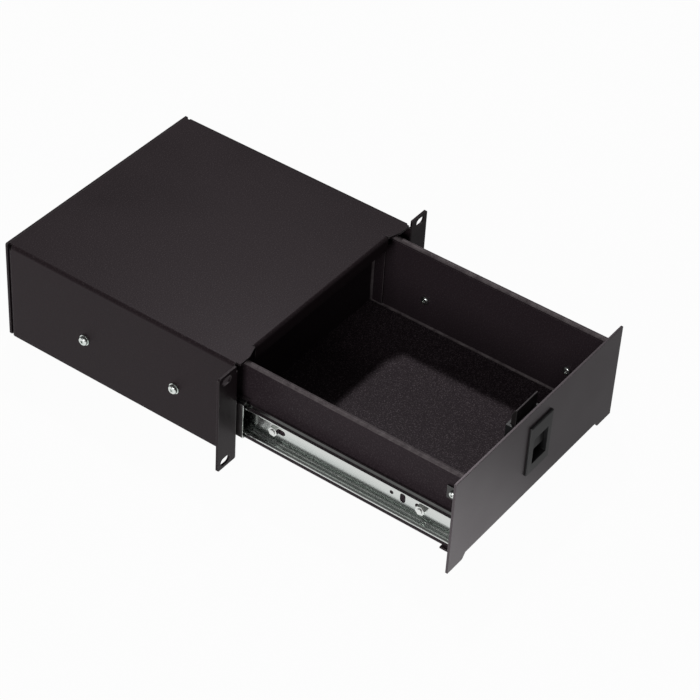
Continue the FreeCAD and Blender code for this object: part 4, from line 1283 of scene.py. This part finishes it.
@dataclass(frozen=True)
class Viewpoint:
    """Where the camera stands, what it looks at and how far it is turned about its own axis."""

    position: Triple = (-1.1757, -0.8090, 1.2107)
    target: Triple = (0.0002, -0.0224, 0.0001)
    roll_degrees: float = 3.68
    lens: float = 130.34
    sensor_width: float = 36.0

    def build(self) -> None:
        """Set up the camera."""
        data = bpy.data.cameras.new("camera")
        data.lens = self.lens
        data.sensor_width = self.sensor_width
        camera = bpy.data.objects.new("camera", data)
        bpy.context.scene.collection.objects.link(camera)
        look = Vector(self.target) - Vector(self.position)
        turn = look.to_track_quat("-Z", "Y").to_matrix().to_4x4()
        roll = Matrix.Rotation(math.radians(self.roll_degrees), 4, "Z")
        camera.matrix_world = Matrix.Translation(Vector(self.position)) @ turn @ roll
        bpy.context.scene.camera = camera


@dataclass(frozen=True)
class Studio:
    """Plain pale floor, soft light and surroundings."""

    floor_size: float = 12.0
    floor_drop: float = 0.1 * MM
    floor_colour: Colour = (0.55, 0.55, 0.55)
    white_share: float = 0.97
    # strength of the floor's painted glow in reflections, from left to right across glow_span: a
    # painted pool of light
    glow_left: float = 1.0
    glow_right: float = 0.36
    glow_span: tuple[float, float] = (-0.09, 0.05)
    sky_strength: float = 0.085
    sky_mirrored: float = 0.12
    lamps: tuple[Lamp, ...] = (
        Lamp("key", (0.444, 0.362, 0.818), distance=2.4, size=0.16, watts=19.0),
        Lamp("left_fill", (-0.93, -0.15, 0.36), distance=2.4, size=0.9, watts=21.0))

    def build(self) -> None:
        """Lay the floor, set the sky and hang the lamps."""
        self.floor()
        self.sky()
        for lamp in self.lamps:
            lamp.build()
        bpy.context.scene.view_settings.view_transform = "Standard"

    def floor(self) -> None:
        """Lay the floor, which looks white to the camera and still takes a shadow; in reflections
        its painted glow falls from left to right, a painted pool of light.
        """
        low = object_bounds()[0][2] - self.floor_drop
        half = self.floor_size / 2
        mesh = bpy.data.meshes.new("floor")
        mesh.from_pydata([(-half, -half, low), (half, -half, low), (half, half, low),
                          (-half, half, low)], [], [(0, 1, 2, 3)])
        floor = place(mesh, "floor")
        material = bpy.data.materials.new("pale_floor")
        graph = emptied(material)
        path = graph.add("ShaderNodeLightPath").outputs
        seen = graph.math("MAXIMUM", path["Is Camera Ray"], graph.math(
            "MAXIMUM", path["Is Glossy Ray"], path["Is Transmission Ray"]))
        matt = graph.add("ShaderNodeBsdfDiffuse", {"Color": (*self.floor_colour, 1.0)})
        # painted pool of light: the floor's glow in mirrored rays falls from left to right
        across = graph.add("ShaderNodeSeparateXYZ", {0: graph.place()}).outputs["X"]
        painted_glow = graph.add("ShaderNodeMapRange", {
            "Value": across, "From Min": self.glow_span[0], "From Max": self.glow_span[1],
            "To Min": self.glow_left, "To Max": self.glow_right},
            interpolation_type="SMOOTHSTEP").outputs["Result"]
        strength = graph.math("MAXIMUM", painted_glow, path["Is Camera Ray"])
        white = graph.add("ShaderNodeEmission", {"Color": (1.0, 1.0, 1.0, 1.0),
                                                 "Strength": strength})
        mixed = graph.add("ShaderNodeMixShader", {
            0: graph.math("MULTIPLY", seen, self.white_share), 1: matt.outputs[0],
            2: white.outputs[0]})
        graph.add("ShaderNodeOutputMaterial", {"Surface": mixed.outputs[0]})
        mesh.materials.append(material)
        floor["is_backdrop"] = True

    def sky(self) -> None:
        """Set the plain surroundings, which look white to the camera."""
        world = bpy.data.worlds.new("surroundings")
        graph = emptied(world)
        path = graph.add("ShaderNodeLightPath").outputs
        lit = graph.math("ADD", self.sky_strength, graph.math(
            "MULTIPLY", path["Is Glossy Ray"], self.sky_mirrored - self.sky_strength))
        strength = graph.math("MAXIMUM", lit, path["Is Camera Ray"])
        plain = graph.add("ShaderNodeBackground", {"Color": (1.0, 1.0, 1.0, 1.0),
                                                   "Strength": strength})
        graph.add("ShaderNodeOutputWorld", {"Surface": plain.outputs[0]})
        bpy.context.scene.world = world


def main() -> None:
    """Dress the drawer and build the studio."""
    logging.basicConfig(level=logging.INFO, format="%(name)s: %(message)s")
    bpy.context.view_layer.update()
    wardrobe = Wardrobe()
    for part in (Case(wardrobe), Slides(wardrobe), Drawer(wardrobe), Latch(wardrobe)):
        LOG.info("building %s", type(part).__name__)
        part.build()
    Studio().build()
    Viewpoint().build()


if __name__ == "__main__":
    main()
